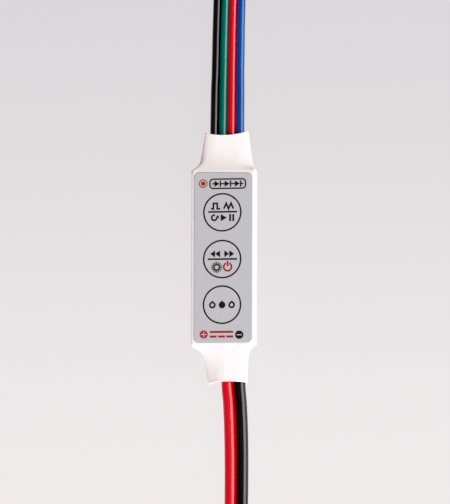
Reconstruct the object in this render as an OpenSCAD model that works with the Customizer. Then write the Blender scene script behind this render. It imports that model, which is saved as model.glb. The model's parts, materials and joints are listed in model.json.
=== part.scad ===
// Inline controller for a colour light strip: three keys in a flat heat-shrunk sleeve.
// It lies on its back. The four output wires leave along +Y, the two power wires
// along -Y, and the keys face +Z. The origin is under the middle of the sleeve.

/* [Sleeve] */
// Width over the flat body
body_w = 12; // [11.8:0.1:13]
// Length of the flat body from shoulder to shoulder
body_l = 33.3; // [33:0.1:36]
// Wall of the shrunk sleeve
sleeve_wall = 0.3; // [0.2:0.05:0.4]
// Rounding along the long edges of the body
body_edge_r = 0.55; // [0.5:0.05:0.8]
// How far the left power shoulder lies out, and the right one in, as the sleeve shrank askew
shoulder_slant = 0.12; // [0:0.02:0.2]

/* [Output mouth] */
// Length of the output neck from shoulder to mouth
out_neck_l = 7.5; // [6:0.1:9]
// Spare width on each side of the output wires
out_mouth_slack = 0.66; // [0.4:0.02:0.9]
// Sideways offset of the output mouth
out_mouth_x = 0.36; // [0.2:0.02:0.6]
// Distance in which the left output shoulder draws in
out_draw_left = 0.6; // [0.5:0.05:1.6]
// Distance in which the right output shoulder draws in
out_draw_right = 0.9; // [0.5:0.05:1.6]
// Further taper of the left side along the output neck
out_taper_left = 0.9; // [0.4:0.05:1.2]
// Further taper of the right side along the output neck
out_taper_right = 0.7; // [0.4:0.05:1.2]
// Depth of the hollow in the cut edge of the output mouth
out_mouth_wave = 0.6; // [0:0.05:0.8]
// Lean of the cut edge of the output mouth
out_mouth_lean = 0.1; // [0:0.02:0.3]

/* [Power mouth] */
// Length of the power neck from shoulder to mouth
in_neck_l = 7.2; // [6:0.1:9]
// Spare width on each side of the power wires
in_mouth_slack = 1.2; // [1:0.05:1.6]
// Sideways offset of the power mouth
in_mouth_x = 0.72; // [0.3:0.02:0.8]
// Distance in which the left power shoulder draws in
in_draw_left = 1; // [0.7:0.05:2.2]
// Distance in which the right power shoulder draws in
in_draw_right = 0.85; // [0.7:0.05:2.2]
// Further taper of the left side along the power neck
in_taper_left = 1; // [0:0.05:1.2]
// Further taper of the right side along the power neck
in_taper_right = 0; // [0:0.05:1.2]
// Depth of the hollow in the cut edge of the power mouth
in_mouth_wave = 0.1; // [0:0.05:0.5]
// Space between the power wires and the wall that they lean on
in_edge_gap = 0.06; // [0.06:0.02:0.2]

/* [Face label] */
// Thickness of the printed film
label_t = 0.2; // [0.1:0.05:0.3]
// Bare sleeve along each long side of the film
label_side = 0.4; // [0.3:0.05:0.6]
// Bare sleeve between the film and the output shoulder
label_out = 0.42; // [0.3:0.01:0.9]
// Bare sleeve between the film and the power shoulder
label_in = 0.18; // [0.12:0.01:0.9]
// Corner radius of the film
label_corner_r = 1; // [0.6:0.1:1.6]
// Sideways offset of the film
label_x = 0.12; // [0:0.02:0.16]

/* [Keys] */
// Diameter of the round zone that gives under a finger
key_d = 7.1; // [6.6:0.1:7.4]
// Travel of each key
key_travel = 0.25; // [0.2:0.05:0.3]
// Sideways offset of the row of keys
key_x = -0.06; // [-0.2:0.02:0.2]
// Place of the middle key along the body
key_mid_y = -0.45; // [-0.6:0.05:0]
// Distance from the middle key to the one nearer the output
key_pitch_out = 8.95; // [8.8:0.05:9.2]
// Distance from the middle key to the one nearer the power wires
key_pitch_in = 8.7; // [8.4:0.05:8.9]

/* [Inner cover] */
// Side and end walls of the cover
cover_wall = 0.7; // [0.5:0.05:0.8]
// Roof of the cover
cover_roof = 0.7; // [0.6:0.05:0.8]

/* [Circuit board] */
// Thickness of the board
board_t = 1.6; // [1.2:0.1:1.8]
// Corner radius of the board
board_corner_r = 0.5; // [0.3:0.1:0.8]

/* [Key switches] */
// Height of a switch from the board to the top of its plunger
switch_h = 2.5; // [2.5:0.05:2.8]
// Length of a switch across the board
switch_l = 6; // [5.6:0.1:6.4]
// Width of a switch along the board
switch_w = 3.6; // [3.4:0.05:3.7]
// Height of the moulded base
switch_base_h = 1.4; // [1.3:0.05:1.45]
// Diameter of the plunger's stem
plunger_d = 2.2; // [1.8:0.1:2.4]

/* [Chips] */
// Width of the microcontroller's package across the board
chip_w = 3.9; // [3.6:0.1:4.1]
// Length of the microcontroller's package along the board
chip_l = 4.9; // [4.4:0.1:5]
// Height of the microcontroller over the board
chip_h = 1.5; // [1.3:0.05:1.6]
// Span over the microcontroller's leads
chip_span = 6; // [5.6:0.1:6.2]
// Width of a transistor's package across the board
fet_w = 1.3; // [1.2:0.05:1.5]
// Length of a transistor's package along the board
fet_l = 2.9; // [2.7:0.05:3.1]
// Span over a transistor's leads
fet_span = 2.4; // [2.2:0.05:2.6]
// Bare board between the row of transistors and each long edge
fet_edge = 0.8; // [0.6:0.05:1]

/* [Output wires] */
// Diameter over the insulation of one output wire
out_wire_d = 1.54; // [1.4:0.02:1.6]
// Diameter of the bare strands of one output wire
out_strand_d = 0.6; // [0.5:0.05:0.7]
// Distance between the output wires at the board and in the mouth
out_pad_pitch = 1.655; // [1.65:0.005:1.75]

/* [Power wires] */
// Diameter over the insulation of one power wire
in_wire_d = 2.24; // [2:0.02:2.3]
// Diameter of the bare strands of one power wire
in_strand_d = 1.2; // [1:0.05:1.3]
// Distance between the power wires at the board and in the mouth
in_pad_pitch = 2.38; // [2.33:0.01:2.45]
// Length of bare tinned strand at the free end
tinned_l = 6; // [4:0.5:10]
// Distance between the two free ends
tinned_pitch = 5; // [3.4:0.2:6]

/* [Output connector] */
// Distance between the sockets of the connector
socket_pitch = 2.54; // [2.54, 2.5]
// Height of the connector
plug_h = 2.54; // [2.4:0.02:2.8]
// Length of the connector
plug_l = 14; // [12:0.5:16]
// Width of the square mouth of each socket
socket_w = 1; // [0.8:0.05:1.2]

/* [Hidden] */

// Overrun of every cut, clearance of pieces seated in others, and running clearance of the keys
cut = 0.5;
seat = 0.03;
key_gap = 0.05;
round_fn = 64;
small_fn = 32;

// Heights, from the underside up
board_z = sleeve_wall;
board_top = board_z + board_t;
body_h = board_top + switch_h + sleeve_wall;
roof_top = body_h - sleeve_wall;
roof_under = roof_top - cover_roof;

// Plan sizes that follow the body
shoulder_y = body_l / 2;
out_mouth_y = shoulder_y + out_neck_l;
in_mouth_y = shoulder_y + in_neck_l;
cover_w = body_w - 2 * (sleeve_wall + seat);
cover_l = body_l - 2 * (sleeve_wall + seat + shoulder_slant);
cover_edge_r = body_edge_r - sleeve_wall + 2 * seat;
board_gap = 0.07;
board_w = cover_w - 2 * (cover_wall + board_gap);
board_l = cover_l - 2 * (cover_wall + board_gap);
board_end = board_l / 2;
label_w = body_w - 2 * label_side;
label_l = body_l - label_out - label_in;
label_y = (label_in - label_out) / 2;

// Places of the three keys, from the output end down
key_ys = [key_mid_y + key_pitch_out, key_mid_y, key_mid_y - key_pitch_in];
key_r = key_d / 2;
key_hole_r = key_r + key_gap;

// Wires: pad, strand and insulation heights, and the widths of the two groups
pad_t = 0.05;
pad_inset = 0.3;
pad_l = 2.6;
out_pad_w = 1.2;
in_pad_w = 1.5;
out_wire_z = board_top + pad_t + out_strand_d / 2;
in_wire_z = board_top + pad_t + in_strand_d / 2;
core_gap = 0.02;
out_core_pitch = out_wire_d + core_gap;
in_core_pitch = in_wire_d + core_gap;
out_places = [-1.5, -0.5, 0.5, 1.5];
in_places = [-0.5, 0.5];
out_fan_w = (len(out_places) - 1) * out_pad_pitch + out_wire_d;
in_fan_w = (len(in_places) - 1) * in_pad_pitch + in_wire_d;
mouth_gap = 0.03;
out_mouth_w = out_fan_w + 2 * (sleeve_wall + out_mouth_slack);
out_mouth_h = out_wire_d + 2 * (sleeve_wall + mouth_gap);
in_mouth_w = in_fan_w + 2 * (sleeve_wall + in_mouth_slack);
in_mouth_h = in_wire_d + 2 * (sleeve_wall + mouth_gap);
out_wires_offset = 0.1;
out_wires_x = out_mouth_x + out_wires_offset;
in_wires_x = in_mouth_x + in_mouth_slack - in_edge_gap;
strip_gap = 0.1;
wire_start_y = board_end + strip_gap;

// Neck: how fast it comes down, its later taper in height, and the roundness of the mouths
drop_l = 1.9;
drop_taper = 0.3;
drop_power = 1.5;
out_powers = [1.2, 1.8];
in_powers = [1.25, 1.05];
mouth_round_share = 0.38;
edge_power = 3;
arc_steps = 4;
flat_steps = 6;
station_shares = [0, 0.02, 0.05, 0.09, 0.14, 0.2, 0.28, 0.38, 0.5, 0.65, 0.82, 1];

// Inner details of a switch
switch_corner_r = 0.3;
frame_t = 0.2;
ear_t = 0.15;
ear_l = 2.4;
ear_h = 0.8;
well_floor = 0.6;
well_r = 1.5;
dome_t = 0.08;
dome_rim_r = 1.4;
dome_crown_r = 0.5;
dome_spare = 0.05;
dome_h = key_travel + dome_spare;
foot_r = 1.4;
foot_t = 0.3;
foot_gap = 0.02;
recess_spare = 0.1;
cover_hole_gap = 0.2;
terminal_l = 0.8;
terminal_w = 0.6;
terminal_t = 0.15;
terminal_h = 0.55;
terminal_y = 1;

// Heights and places shared by the switches
frame_z = board_top + switch_base_h;
well_z = board_top + well_floor;
foot_z = well_z + dome_h + foot_gap;

// Small packages: standoff, bevel, lead sizes
standoff = 0.1;
bevel = 0.25;
lead_t = 0.15;
chip_lead_w = 0.4;
chip_lead_pitch = 1.27;
chip_leads = 4;
chip_mark_r = 0.35;
chip_mark_depth = 0.1;
chip_mark_inset = 0.75;
fet_h = 1.05;
fet_lead_pitch = 0.95;
reg_l = 2.9;
reg_w = 1.6;
reg_h = 1.15;
reg_span = 2.8;
reg_pad_gap = 0.6;
diode_w = 0.8;
diode_l = 1.2;
diode_h = 0.6;
diode_span = 1.6;
diode_lead_w = 0.3;
tile_l = 1.6;
tile_w = 0.8;
tile_t = 0.45;
tile_cap = 0.3;
tile_pitch = 1.75;
cap_x = 2.2;

// Solder hills
out_joint_r = 0.56;
in_joint_r = 0.75;
joint_l = 1.9;
joint_end = 0.35;
joint_gap = 0.01;

// Connector details
plug_side = 0.05;
plug_bevel = 0.3;
cavity_w = 1.9;
front_t = 1.2;
window_w = 1.3;
window_l = 2.2;
window_y = 6.2;
wire_in = 2;
contact_w = 1.7;
contact_l = 7;
contact_side = 0.3;
crimp_d = 1.2;
crimp_share = 0.65;
crimp_neck_w = 0.9;
lance_w = 0.8;
lance_h = 0.25;
lance_gap = 0.2;

// Routes of the two free leads, from just outside each mouth to the far end
out_route_free = [[0.46, 28, 2.1], [0.42, 32, 1.6], [0.4, 36, 1.1], [0.43, 41, 0.8], [0.6, 50, 0.77],
    [1.2, 66, 0.77], [1.5, 88, 0.77], [1, 110, 0.77], [0.85, 116, 0.95], [0.8, 122.5, 1.27], [0.8, 126, 1.27]];
in_route_free = [[2.15, -28, 2.4], [2.28, -32, 2], [2.33, -37, 1.5], [2.31, -43, 1.2], [2.15, -55, 1.12],
    [1.6, -72, 1.12], [1.2, -90, 1.12], [1.4, -108, 1.12], [1.6, -116, 1.12], [1.6, -124, 1.12]];

// Share of its extra width in the mouth that each lead still has at its first free points
out_fan_shares = [0.55, 0.2];
in_fan_shares = [0.7, 0.55, 0.25];

// Values for the output end, where e is 1, or for the power end, where e is -1
function at_end(e, out_value, in_value) = e > 0 ? out_value : in_value;
function mouth_w(e) = at_end(e, out_mouth_w, in_mouth_w);
function mouth_h(e) = at_end(e, out_mouth_h, in_mouth_h);
function neck_l(e) = at_end(e, out_neck_l, in_neck_l);

// Share of a change that is done at distance d past the shoulder of end e
function settled(d, fall, power, e) =
    (1 - exp(-pow(d / fall, power))) / (1 - exp(-pow(neck_l(e) / fall, power)));

// A size that goes from a at the shoulder to b at the mouth, its last part as an even taper
function eased(a, b, taper, fall, power, d, e) =
    a - (a - b - taper) * settled(d, fall, power, e) - taper * d / neck_l(e);

// How far the left flank of a neck, where side is -1, or the right one, where it is 1, lies out
function flank(side, d, e) =
    let (values = side < 0
            ? at_end(e, [out_taper_left, out_draw_left, out_powers[0]], [in_taper_left, in_draw_left, in_powers[0]])
            : at_end(e, [out_taper_right, out_draw_right, out_powers[1]],
                [in_taper_right, in_draw_right, in_powers[1]]),
         reach = mouth_w(e) / 2 + side * at_end(e, out_mouth_x, in_mouth_x))
    eased(body_w / 2, reach, values[0], values[1], values[2], d, e);

// Sizes of the sleeve's section at distance d past a shoulder
function half_w(d, e) = (flank(1, d, e) + flank(-1, d, e)) / 2;
function mid_x(d, e) = (flank(1, d, e) - flank(-1, d, e)) / 2;
function dropped(a, b, taper, d, e) = eased(a, b, taper, drop_l, drop_power, d, e);
function half_h(d, e) = dropped(body_h / 2, mouth_h(e) / 2, drop_taper, d, e);
function mid_z(d, e) = dropped(body_h / 2, at_end(e, out_wire_z, in_wire_z), 0, d, e);
function edge_r(d, e) = dropped(body_edge_r, mouth_round_share * mouth_h(e), 0, d, e);

// How far the cut edge of a mouth stands out from its mean, at share u of the half width
function mouth_edge(u, e) =
    at_end(e, out_mouth_lean, 0) * u - at_end(e, out_mouth_wave, in_mouth_wave) * (1 - u * u);

// Corner and flat of a rounded rectangle, as points of its plane
function corner(cx, cz, r, start) =
    [for (k = [0 : arc_steps]) let (a = start + 90 * k / arc_steps) [cx + r * cos(a), cz + r * sin(a)]];
function flat(from_x, to_x, z) =
    [for (k = [1 : flat_steps - 1]) [from_x + (to_x - from_x) * k / flat_steps, z]];
function round_ring(w, h, r) = concat(
    corner(w - r, r - h, r, -90), corner(w - r, h - r, r, 0), flat(w - r, r - w, h),
    corner(r - w, h - r, r, 90), corner(r - w, r - h, r, 180), flat(r - w, w - r, -h));

// One ring of the sleeve at distance d past the shoulder of end e, drawn in by inset
function sleeve_ring(d, e, inset) =
    let (w = half_w(d, e) - inset,
         along = d - inset * (1 - d / neck_l(e)),
         slant = at_end(e, 0, -shoulder_slant))
    [for (p = round_ring(w, half_h(d, e) - inset, edge_r(d, e) - inset))
        let (u = p[0] / w)
        [mid_x(d, e) + p[0],
         e * (shoulder_y + along + slant * u + mouth_edge(u, e) * pow(d / neck_l(e), edge_power)),
         mid_z(d, e) + p[1]]];

function backwards(list) = [for (i = [len(list) - 1 : -1 : 0]) list[i]];

// Rings in order along +Y, for the outer or the inner skin
function sleeve_skin(inset) = concat(
    [for (s = backwards(station_shares)) sleeve_ring(s * in_neck_l, -1, inset)],
    [for (s = station_shares) sleeve_ring(s * out_neck_l, 1, inset)]);

// Triangles that join n rings of m points, and close from the last ring to the first if looped
function skin_faces(n, m, looped) = [for (i = [0 : looped ? n - 1 : n - 2]) for (j = [0 : m - 1])
    let (a = i * m + j,
         b = i * m + (j + 1) % m,
         c = (i + 1) % n * m + (j + 1) % m,
         d = (i + 1) % n * m + j)
    each [[a, b, c], [a, c, d]]];

// Route of a lead from the board to its far end
out_route = concat([
    [out_wires_x, wire_start_y, out_wire_z],
    [out_wires_x, shoulder_y + out_neck_l / 3, out_wire_z],
    [out_wires_x, out_mouth_y, out_wire_z]], out_route_free);
in_route = concat([
    [in_wires_x, -wire_start_y, in_wire_z],
    [in_wires_x, -shoulder_y - in_neck_l / 3, in_wire_z],
    [in_wires_x, -in_mouth_y, in_wire_z]], in_route_free);
out_last = len(out_route) - 1;
in_last = len(in_route) - 1;
out_tip = out_route[out_last];
in_tip = in_route[in_last];

// Distance between the wires of a lead at each point of its route
function fan_share(i, shares) = i < 3 ? 1 : i < 3 + len(shares) ? shares[i - 3] : 0;
out_pitches = [for (i = [0 : out_last])
    i < out_last - 2 ? out_core_pitch + (out_pad_pitch - out_core_pitch) * fan_share(i, out_fan_shares) :
    i < out_last - 1 ? (out_core_pitch + socket_pitch) / 2 : socket_pitch];
in_pitches = [for (i = [0 : in_last])
    i < in_last - 1 ? in_core_pitch + (in_pad_pitch - in_core_pitch) * fan_share(i, in_fan_shares) :
    i < in_last ? (in_core_pitch + tinned_pitch) / 2 : tinned_pitch];

// A tube with eight flat sides along route points that run towards +Y
module eight_sided_tube(points, d) {
    sides = 8;
    r = d / 2 / cos(180 / sides);
    rings = [for (p = points) for (k = [0 : sides - 1])
        let (a = 360 * (k + 0.5) / sides)
        p + [r * cos(a), 0, r * sin(a)]];
    last = len(points) - 1;
    faces = concat(skin_faces(len(points), sides, false),
        [[for (k = [sides - 1 : -1 : 0]) k]],
        [[for (k = [0 : sides - 1]) last * sides + k]]);
    polyhedron(points = rings, faces = faces);
}

// One insulated wire of a lead, beside the lead's middle line
module output_wire(place) {
    eight_sided_tube([for (i = [0 : out_last]) out_route[i] + [place * out_pitches[i], 0, 0]], out_wire_d);
}

module power_wire(place) {
    eight_sided_tube(backwards([for (i = [0 : in_last])
        in_route[i] + [place * in_pitches[i], 0, 0]]), in_wire_d);
}

// A round bar along +Y from a point
module bar_y(from, d, l) {
    translate(from)
        rotate([-90, 0, 0])
            cylinder(d = d, h = l, $fn = small_fn);
}

// A flat plate with round corners, centred on the origin
module round_plate(w, l, r, t) {
    linear_extrude(t) {
        square([w - 2 * r, l], center = true);
        square([w, l - 2 * r], center = true);
        for (sx = [-1, 1])
            for (sy = [-1, 1])
                translate([sx * (w / 2 - r), sy * (l / 2 - r)])
                    circle(r, $fn = small_fn);
    }
}

// A disc at one key
module key_disc(i, r, z, t) {
    translate([key_x, key_ys[i], z])
        cylinder(r = r, h = t, $fn = round_fn);
}

module shrink_sleeve() {
    outer = sleeve_skin(0);
    inner = backwards(sleeve_skin(sleeve_wall));
    rings = concat(outer, inner);
    color("white")
        difference() {
            polyhedron(
                points = [for (ring = rings) each ring],
                faces = skin_faces(len(rings), len(rings[0]), true));
            for (i = [0 : 2])
                key_disc(i, key_hole_r, roof_top - cut / 2, sleeve_wall + cut);
        }
}

module face_label() {
    color("silver")
        difference() {
            translate([label_x, label_y, body_h])
                round_plate(label_w, label_l, label_corner_r, label_t);
            for (i = [0 : 2])
                key_disc(i, key_hole_r, body_h - cut, label_t + 2 * cut);
        }
}

// Opening for the wires in an end wall of the cover
module cover_notch(x, w, top, side) {
    notch_z = board_z - cut;
    translate([x - w / 2, side > 0 ? cover_l / 2 - cover_wall - cut : -cover_l / 2 - cut, notch_z])
        cube([w, cover_wall + 2 * cut, top - notch_z]);
}

module inner_cover() {
    hollow_w = cover_w - 2 * cover_wall;
    hollow_l = cover_l - 2 * cover_wall;
    color("whitesmoke")
        difference() {
            translate([0, cover_l / 2, (board_z + roof_top) / 2])
                rotate([90, 0, 0])
                    round_plate(cover_w, roof_top - board_z, cover_edge_r, cover_l);
            translate([-hollow_w / 2, -hollow_l / 2, board_z - cut])
                cube([hollow_w, hollow_l, roof_under - board_z + cut]);
            cover_notch(out_wires_x, out_fan_w + 2 * recess_spare,
                out_wire_z + out_wire_d / 2 + recess_spare, 1);
            cover_notch(in_wires_x, in_fan_w + 2 * recess_spare,
                in_wire_z + in_wire_d / 2 + recess_spare, -1);
            for (i = [0 : 2]) {
                key_disc(i, key_hole_r, roof_top - key_travel - recess_spare, cut + key_travel + recess_spare);
                key_disc(i, plunger_d / 2 + cover_hole_gap, roof_under - cut, cover_roof + 2 * cut);
            }
        }
}

module circuit_board() {
    color("darkgreen")
        translate([0, 0, board_z])
            round_plate(board_w, board_l, board_corner_r, board_t);
}

module solder_pads() {
    pad_y = board_end - pad_inset - pad_l;
    color("goldenrod")
        translate([0, 0, board_top]) {
            for (place = out_places)
                translate([out_wires_x + place * out_pad_pitch - out_pad_w / 2, pad_y, 0])
                    cube([out_pad_w, pad_l, pad_t]);
            for (place = in_places)
                translate([in_wires_x + place * in_pad_pitch - in_pad_w / 2, -pad_y - pad_l, 0])
                    cube([in_pad_w, pad_l, pad_t]);
        }
}

// The zones of film and sleeve that move with one key
module key_film(i) {
    color("silver")
        key_disc(i, key_r, body_h, label_t);
}

module key_zone(i) {
    color("white")
        key_disc(i, key_r, roof_top, sleeve_wall);
}

module plunger(i) {
    color("ivory") {
        key_disc(i, foot_r, foot_z, foot_t);
        key_disc(i, plunger_d / 2, foot_z + foot_t, roof_top - foot_z - foot_t);
    }
}

// A snap dome: a thin dished disc whose rim stands on the floor of the well
module snap_dome(i) {
    outline = [[dome_rim_r, 0], [dome_crown_r, dome_h], [0, dome_h],
        [0, dome_h - dome_t], [dome_crown_r, dome_h - dome_t], [dome_rim_r - 2 * dome_t, 0]];
    color("lightsteelblue")
        translate([key_x, key_ys[i], well_z])
            rotate_extrude($fn = small_fn)
                polygon(outline);
}

module switch_base(i) {
    ear_cut = ear_t + seat;
    color("dimgray")
        difference() {
            translate([key_x, key_ys[i], board_top])
                round_plate(switch_l, switch_w, switch_corner_r, switch_base_h);
            key_disc(i, well_r, well_z, switch_base_h);
            for (side = [-1, 1])
                translate([key_x - ear_l / 2 - seat,
                           key_ys[i] + side * (switch_w / 2 - ear_cut / 2 + cut / 2) - (ear_cut + cut) / 2,
                           frame_z - ear_h - seat])
                    cube([ear_l + 2 * seat, ear_cut + cut, ear_h + seat + cut]);
        }
}

module switch_frame(i) {
    color("gainsboro") {
        difference() {
            translate([key_x, key_ys[i], frame_z])
                round_plate(switch_l, switch_w, switch_corner_r, frame_t);
            key_disc(i, plunger_d / 2 + key_gap, frame_z - cut, frame_t + 2 * cut);
        }
        for (side = [-1, 1])
            translate([key_x, key_ys[i] + side * (switch_w - ear_t) / 2, frame_z - ear_h / 2])
                cube([ear_l, ear_t, ear_h], center = true);
    }
}

module switch_terminals() {
    profile = [[0, 0], [terminal_l, 0], [terminal_l, terminal_t],
        [terminal_t, terminal_t], [terminal_t, terminal_h], [0, terminal_h]];
    color("silver")
        for (i = [0 : 2])
            for (sx = [0, 1])
                for (sy = [-1, 1])
                    translate([key_x, key_ys[i], board_top])
                        mirror([sx, 0, 0])
                            translate([switch_l / 2, sy * terminal_y + terminal_w / 2, 0])
                                rotate([90, 0, 0])
                                    linear_extrude(terminal_w)
                                        polygon(profile);
}

// A moulded package with bevelled upper edges, over the board
module package(x, y, w, l, h) {
    side = h - standoff;
    translate([x, y + l / 2, board_top + standoff])
        rotate([90, 0, 0])
            linear_extrude(l)
                polygon([[-w / 2, 0], [w / 2, 0], [w / 2, side - bevel], [w / 2 - bevel, side],
                    [bevel - w / 2, side], [-w / 2, side - bevel]]);
}

// A bent lead that leaves the side of a package at +X and stands on the board
module bent_lead(from_x, to_x, exit_z, w) {
    reach = to_x - from_x;
    knee = from_x + reach / 4;
    heel = from_x + reach / 2;
    rotate([90, 0, 0])
        translate([0, 0, -w / 2])
            linear_extrude(w)
                polygon([[from_x, exit_z], [knee - lead_t / 4, exit_z], [heel - lead_t / 2, 0], [to_x, 0],
                    [to_x, lead_t], [heel + lead_t / 4, lead_t], [knee + lead_t / 2, exit_z + lead_t],
                    [from_x, exit_z + lead_t]]);
}

// Leads along both sides of a package, whose places on each side are given
module lead_rows(x, y, w, span, h, lead_w, right_ys, left_ys) {
    exit_z = h / 2;
    translate([x, y, board_top]) {
        for (place = right_ys)
            translate([0, place, 0])
                bent_lead(w / 2, span / 2, exit_z, lead_w);
        for (place = left_ys)
            translate([0, place, 0])
                mirror([1, 0, 0])
                    bent_lead(w / 2, span / 2, exit_z, lead_w);
    }
}

chip_y = (key_ys[0] + key_ys[1]) / 2;
chip_lead_ys = [for (k = [0 : chip_leads - 1]) (k - (chip_leads - 1) / 2) * chip_lead_pitch];
fet_y = (key_ys[1] + key_ys[2]) / 2;
fet_pitch = (board_w - fet_span) / 2 - fet_edge;
fet_xs = [-fet_pitch, 0, fet_pitch];

module microcontroller() {
    color("#222222")
        difference() {
            package(0, chip_y, chip_w, chip_l, chip_h);
            translate([chip_mark_inset - chip_w / 2, chip_y + chip_l / 2 - chip_mark_inset,
                       board_top + chip_h - chip_mark_depth])
                cylinder(r = chip_mark_r, h = cut, $fn = small_fn);
        }
}

module microcontroller_leads() {
    color("silver")
        lead_rows(0, chip_y, chip_w, chip_span, chip_h, chip_lead_w, chip_lead_ys, chip_lead_ys);
}

module output_transistors() {
    color("#222222")
        for (x = fet_xs)
            package(x, fet_y, fet_w, fet_l, fet_h);
}

module transistor_leads() {
    color("silver")
        for (x = fet_xs)
            lead_rows(x, fet_y, fet_w, fet_span, fet_h, chip_lead_w, [-fet_lead_pitch, fet_lead_pitch], [0]);
}

// The regulator lies beside the power pads, with its two leads towards the output end
reg_x = in_wires_x - (in_pad_pitch + in_pad_w) / 2 - reg_pad_gap - reg_l / 2;
reg_y = (key_ys[2] - switch_w / 2 - board_end) / 2;

module voltage_regulator() {
    color("#222222")
        translate([reg_x, reg_y, 0])
            rotate([0, 0, 90])
                package(0, 0, reg_w, reg_l, reg_h);
}

module regulator_leads() {
    color("silver")
        translate([reg_x, reg_y, 0])
            rotate([0, 0, 90])
                lead_rows(0, 0, reg_w, reg_span, reg_h, chip_lead_w, [-fet_lead_pitch, fet_lead_pitch], [0]);
}

side_x = (chip_span + board_w) / 4;

module reverse_diode() {
    color("#222222")
        translate([side_x, chip_y, 0])
            rotate([0, 0, 90])
                package(0, 0, diode_l, diode_w, diode_h);
}

module diode_leads() {
    color("silver")
        translate([side_x, chip_y, 0])
            rotate([0, 0, 90])
                lead_rows(0, 0, diode_l, diode_span, diode_h, diode_lead_w, [0], [0]);
}

// Places of the small two-ended parts: resistors beside the chip, capacitors behind the output pads
resistor_places = [for (k = [-1 : 1]) [-side_x, chip_y + k * tile_pitch, 90]];
cap_y = (key_ys[0] + switch_w / 2 + board_end - pad_inset - pad_l) / 2;
capacitor_places = [for (side = [-1, 1]) [side * cap_x, cap_y, 0]];

module tile_middle(place) {
    translate([place[0], place[1], board_top])
        rotate([0, 0, place[2]])
            translate([tile_cap - tile_l / 2, -tile_w / 2, 0])
                cube([tile_l - 2 * tile_cap, tile_w, tile_t]);
}

module tile_caps(place) {
    translate([place[0], place[1], board_top])
        rotate([0, 0, place[2]])
            for (end_x = [-tile_l / 2, tile_l / 2 - tile_cap])
                translate([end_x, -tile_w / 2, 0])
                    cube([tile_cap, tile_w, tile_t]);
}

module chip_resistors() {
    color("black")
        for (place = resistor_places)
            tile_middle(place);
}

module chip_capacitors() {
    color("tan")
        for (place = capacitor_places)
            tile_middle(place);
}

module chip_end_caps() {
    color("silver")
        for (place = concat(resistor_places, capacitor_places))
            tile_caps(place);
}

// The bare strands that lie on the pads and go into the insulation's end
strand_l = wire_start_y - (board_end - pad_inset - pad_l);

module output_conductors() {
    color("peru")
        for (place = out_places)
            bar_y([out_wires_x + place * out_pad_pitch, wire_start_y - strand_l, out_wire_z],
                out_strand_d, strand_l);
}

module power_conductors() {
    color("peru")
        for (place = in_places)
            bar_y([in_wires_x + place * in_pad_pitch, -wire_start_y, in_wire_z], in_strand_d, strand_l);
}

// A hill of solder that holds a strand on its pad, along +Y from a place
module solder_joint(x, y, z, r, strand_d) {
    pad_top = board_top + pad_t;
    color("lightgray")
        difference() {
            translate([x, y, z])
                rotate([-90, 0, 0]) {
                    cylinder(r1 = strand_d / 2 + joint_gap * 2, r2 = r, h = joint_end, $fn = small_fn);
                    translate([0, 0, joint_end])
                        cylinder(r = r, h = joint_l - 2 * joint_end, $fn = small_fn);
                    translate([0, 0, joint_l - joint_end])
                        cylinder(r1 = r, r2 = strand_d / 2 + joint_gap * 2, h = joint_end, $fn = small_fn);
                }
            bar_y([x, y - cut, z], strand_d + 2 * joint_gap, joint_l + 2 * cut);
            translate([x - r - cut, y - cut, pad_top - r - cut])
                cube([2 * (r + cut), joint_l + 2 * cut, r + cut]);
        }
}

joint_y = board_end - pad_inset - (pad_l + joint_l) / 2;

module output_solder_joints() {
    for (place = out_places)
        solder_joint(out_wires_x + place * out_pad_pitch, joint_y, out_wire_z, out_joint_r, out_strand_d);
}

module power_solder_joints() {
    for (place = in_places)
        solder_joint(in_wires_x + place * in_pad_pitch, -joint_y - joint_l, in_wire_z, in_joint_r, in_strand_d);
}

// Places of the four ways of the connector, and its outer width
way_xs = [for (place = out_places) out_tip[0] + place * socket_pitch];
plug_w = len(out_places) * socket_pitch + 2 * plug_side;
plug_y = out_tip[1] - wire_in;
plug_front = plug_y + plug_l;
contact_y = plug_front - front_t - contact_l;

module output_connector() {
    color("#1a1a1a")
        difference() {
            translate([out_tip[0], plug_y, plug_h / 2])
                rotate([-90, 0, 0]) {
                    round_plate(plug_w, plug_h, plug_bevel, plug_l);
                }
            for (x = way_xs) {
                translate([x - cavity_w / 2, plug_y - cut, (plug_h - cavity_w) / 2])
                    cube([cavity_w, plug_l - front_t + cut, cavity_w]);
                translate([x - socket_w / 2, plug_front - front_t - cut, (plug_h - socket_w) / 2])
                    cube([socket_w, front_t + 2 * cut, socket_w]);
                translate([x - window_w / 2, plug_y + window_y, plug_h / 2])
                    cube([window_w, window_l, plug_h]);
            }
        }
}

// One contact: a folded box open towards its socket, with a lance in the window and a crimped tail
module contact(x) {
    bore_w = contact_w - 2 * contact_side;
    floor_z = (plug_h - contact_w) / 2;
    crimp_y = out_tip[1] + seat;
    crimp_l = (contact_y - crimp_y) * crimp_share;
    difference() {
        translate([x - contact_w / 2, contact_y, floor_z])
            cube([contact_w, contact_l, contact_w]);
        translate([x - bore_w / 2, contact_y - cut, (plug_h - bore_w) / 2])
            cube([bore_w, contact_l + 2 * cut, bore_w]);
    }
    translate([x - lance_w / 2, plug_y + window_y + lance_gap, floor_z + contact_w - contact_side])
        cube([lance_w, window_l - 2 * lance_gap, contact_side + lance_h]);
    translate([x - crimp_neck_w / 2, crimp_y, floor_z])
        cube([crimp_neck_w, contact_y + contact_side - crimp_y, contact_side]);
    bar_y([x, crimp_y, floor_z + crimp_d / 2], crimp_d, crimp_l);
}

module connector_contacts() {
    color("gold")
        for (x = way_xs)
            contact(x);
}

module power_tinned_ends() {
    color("lightgray")
        for (place = in_places)
            bar_y([in_tip[0] + place * tinned_pitch, in_tip[1] - tinned_l, in_tip[2]], in_strand_d, tinned_l);
}

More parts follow.
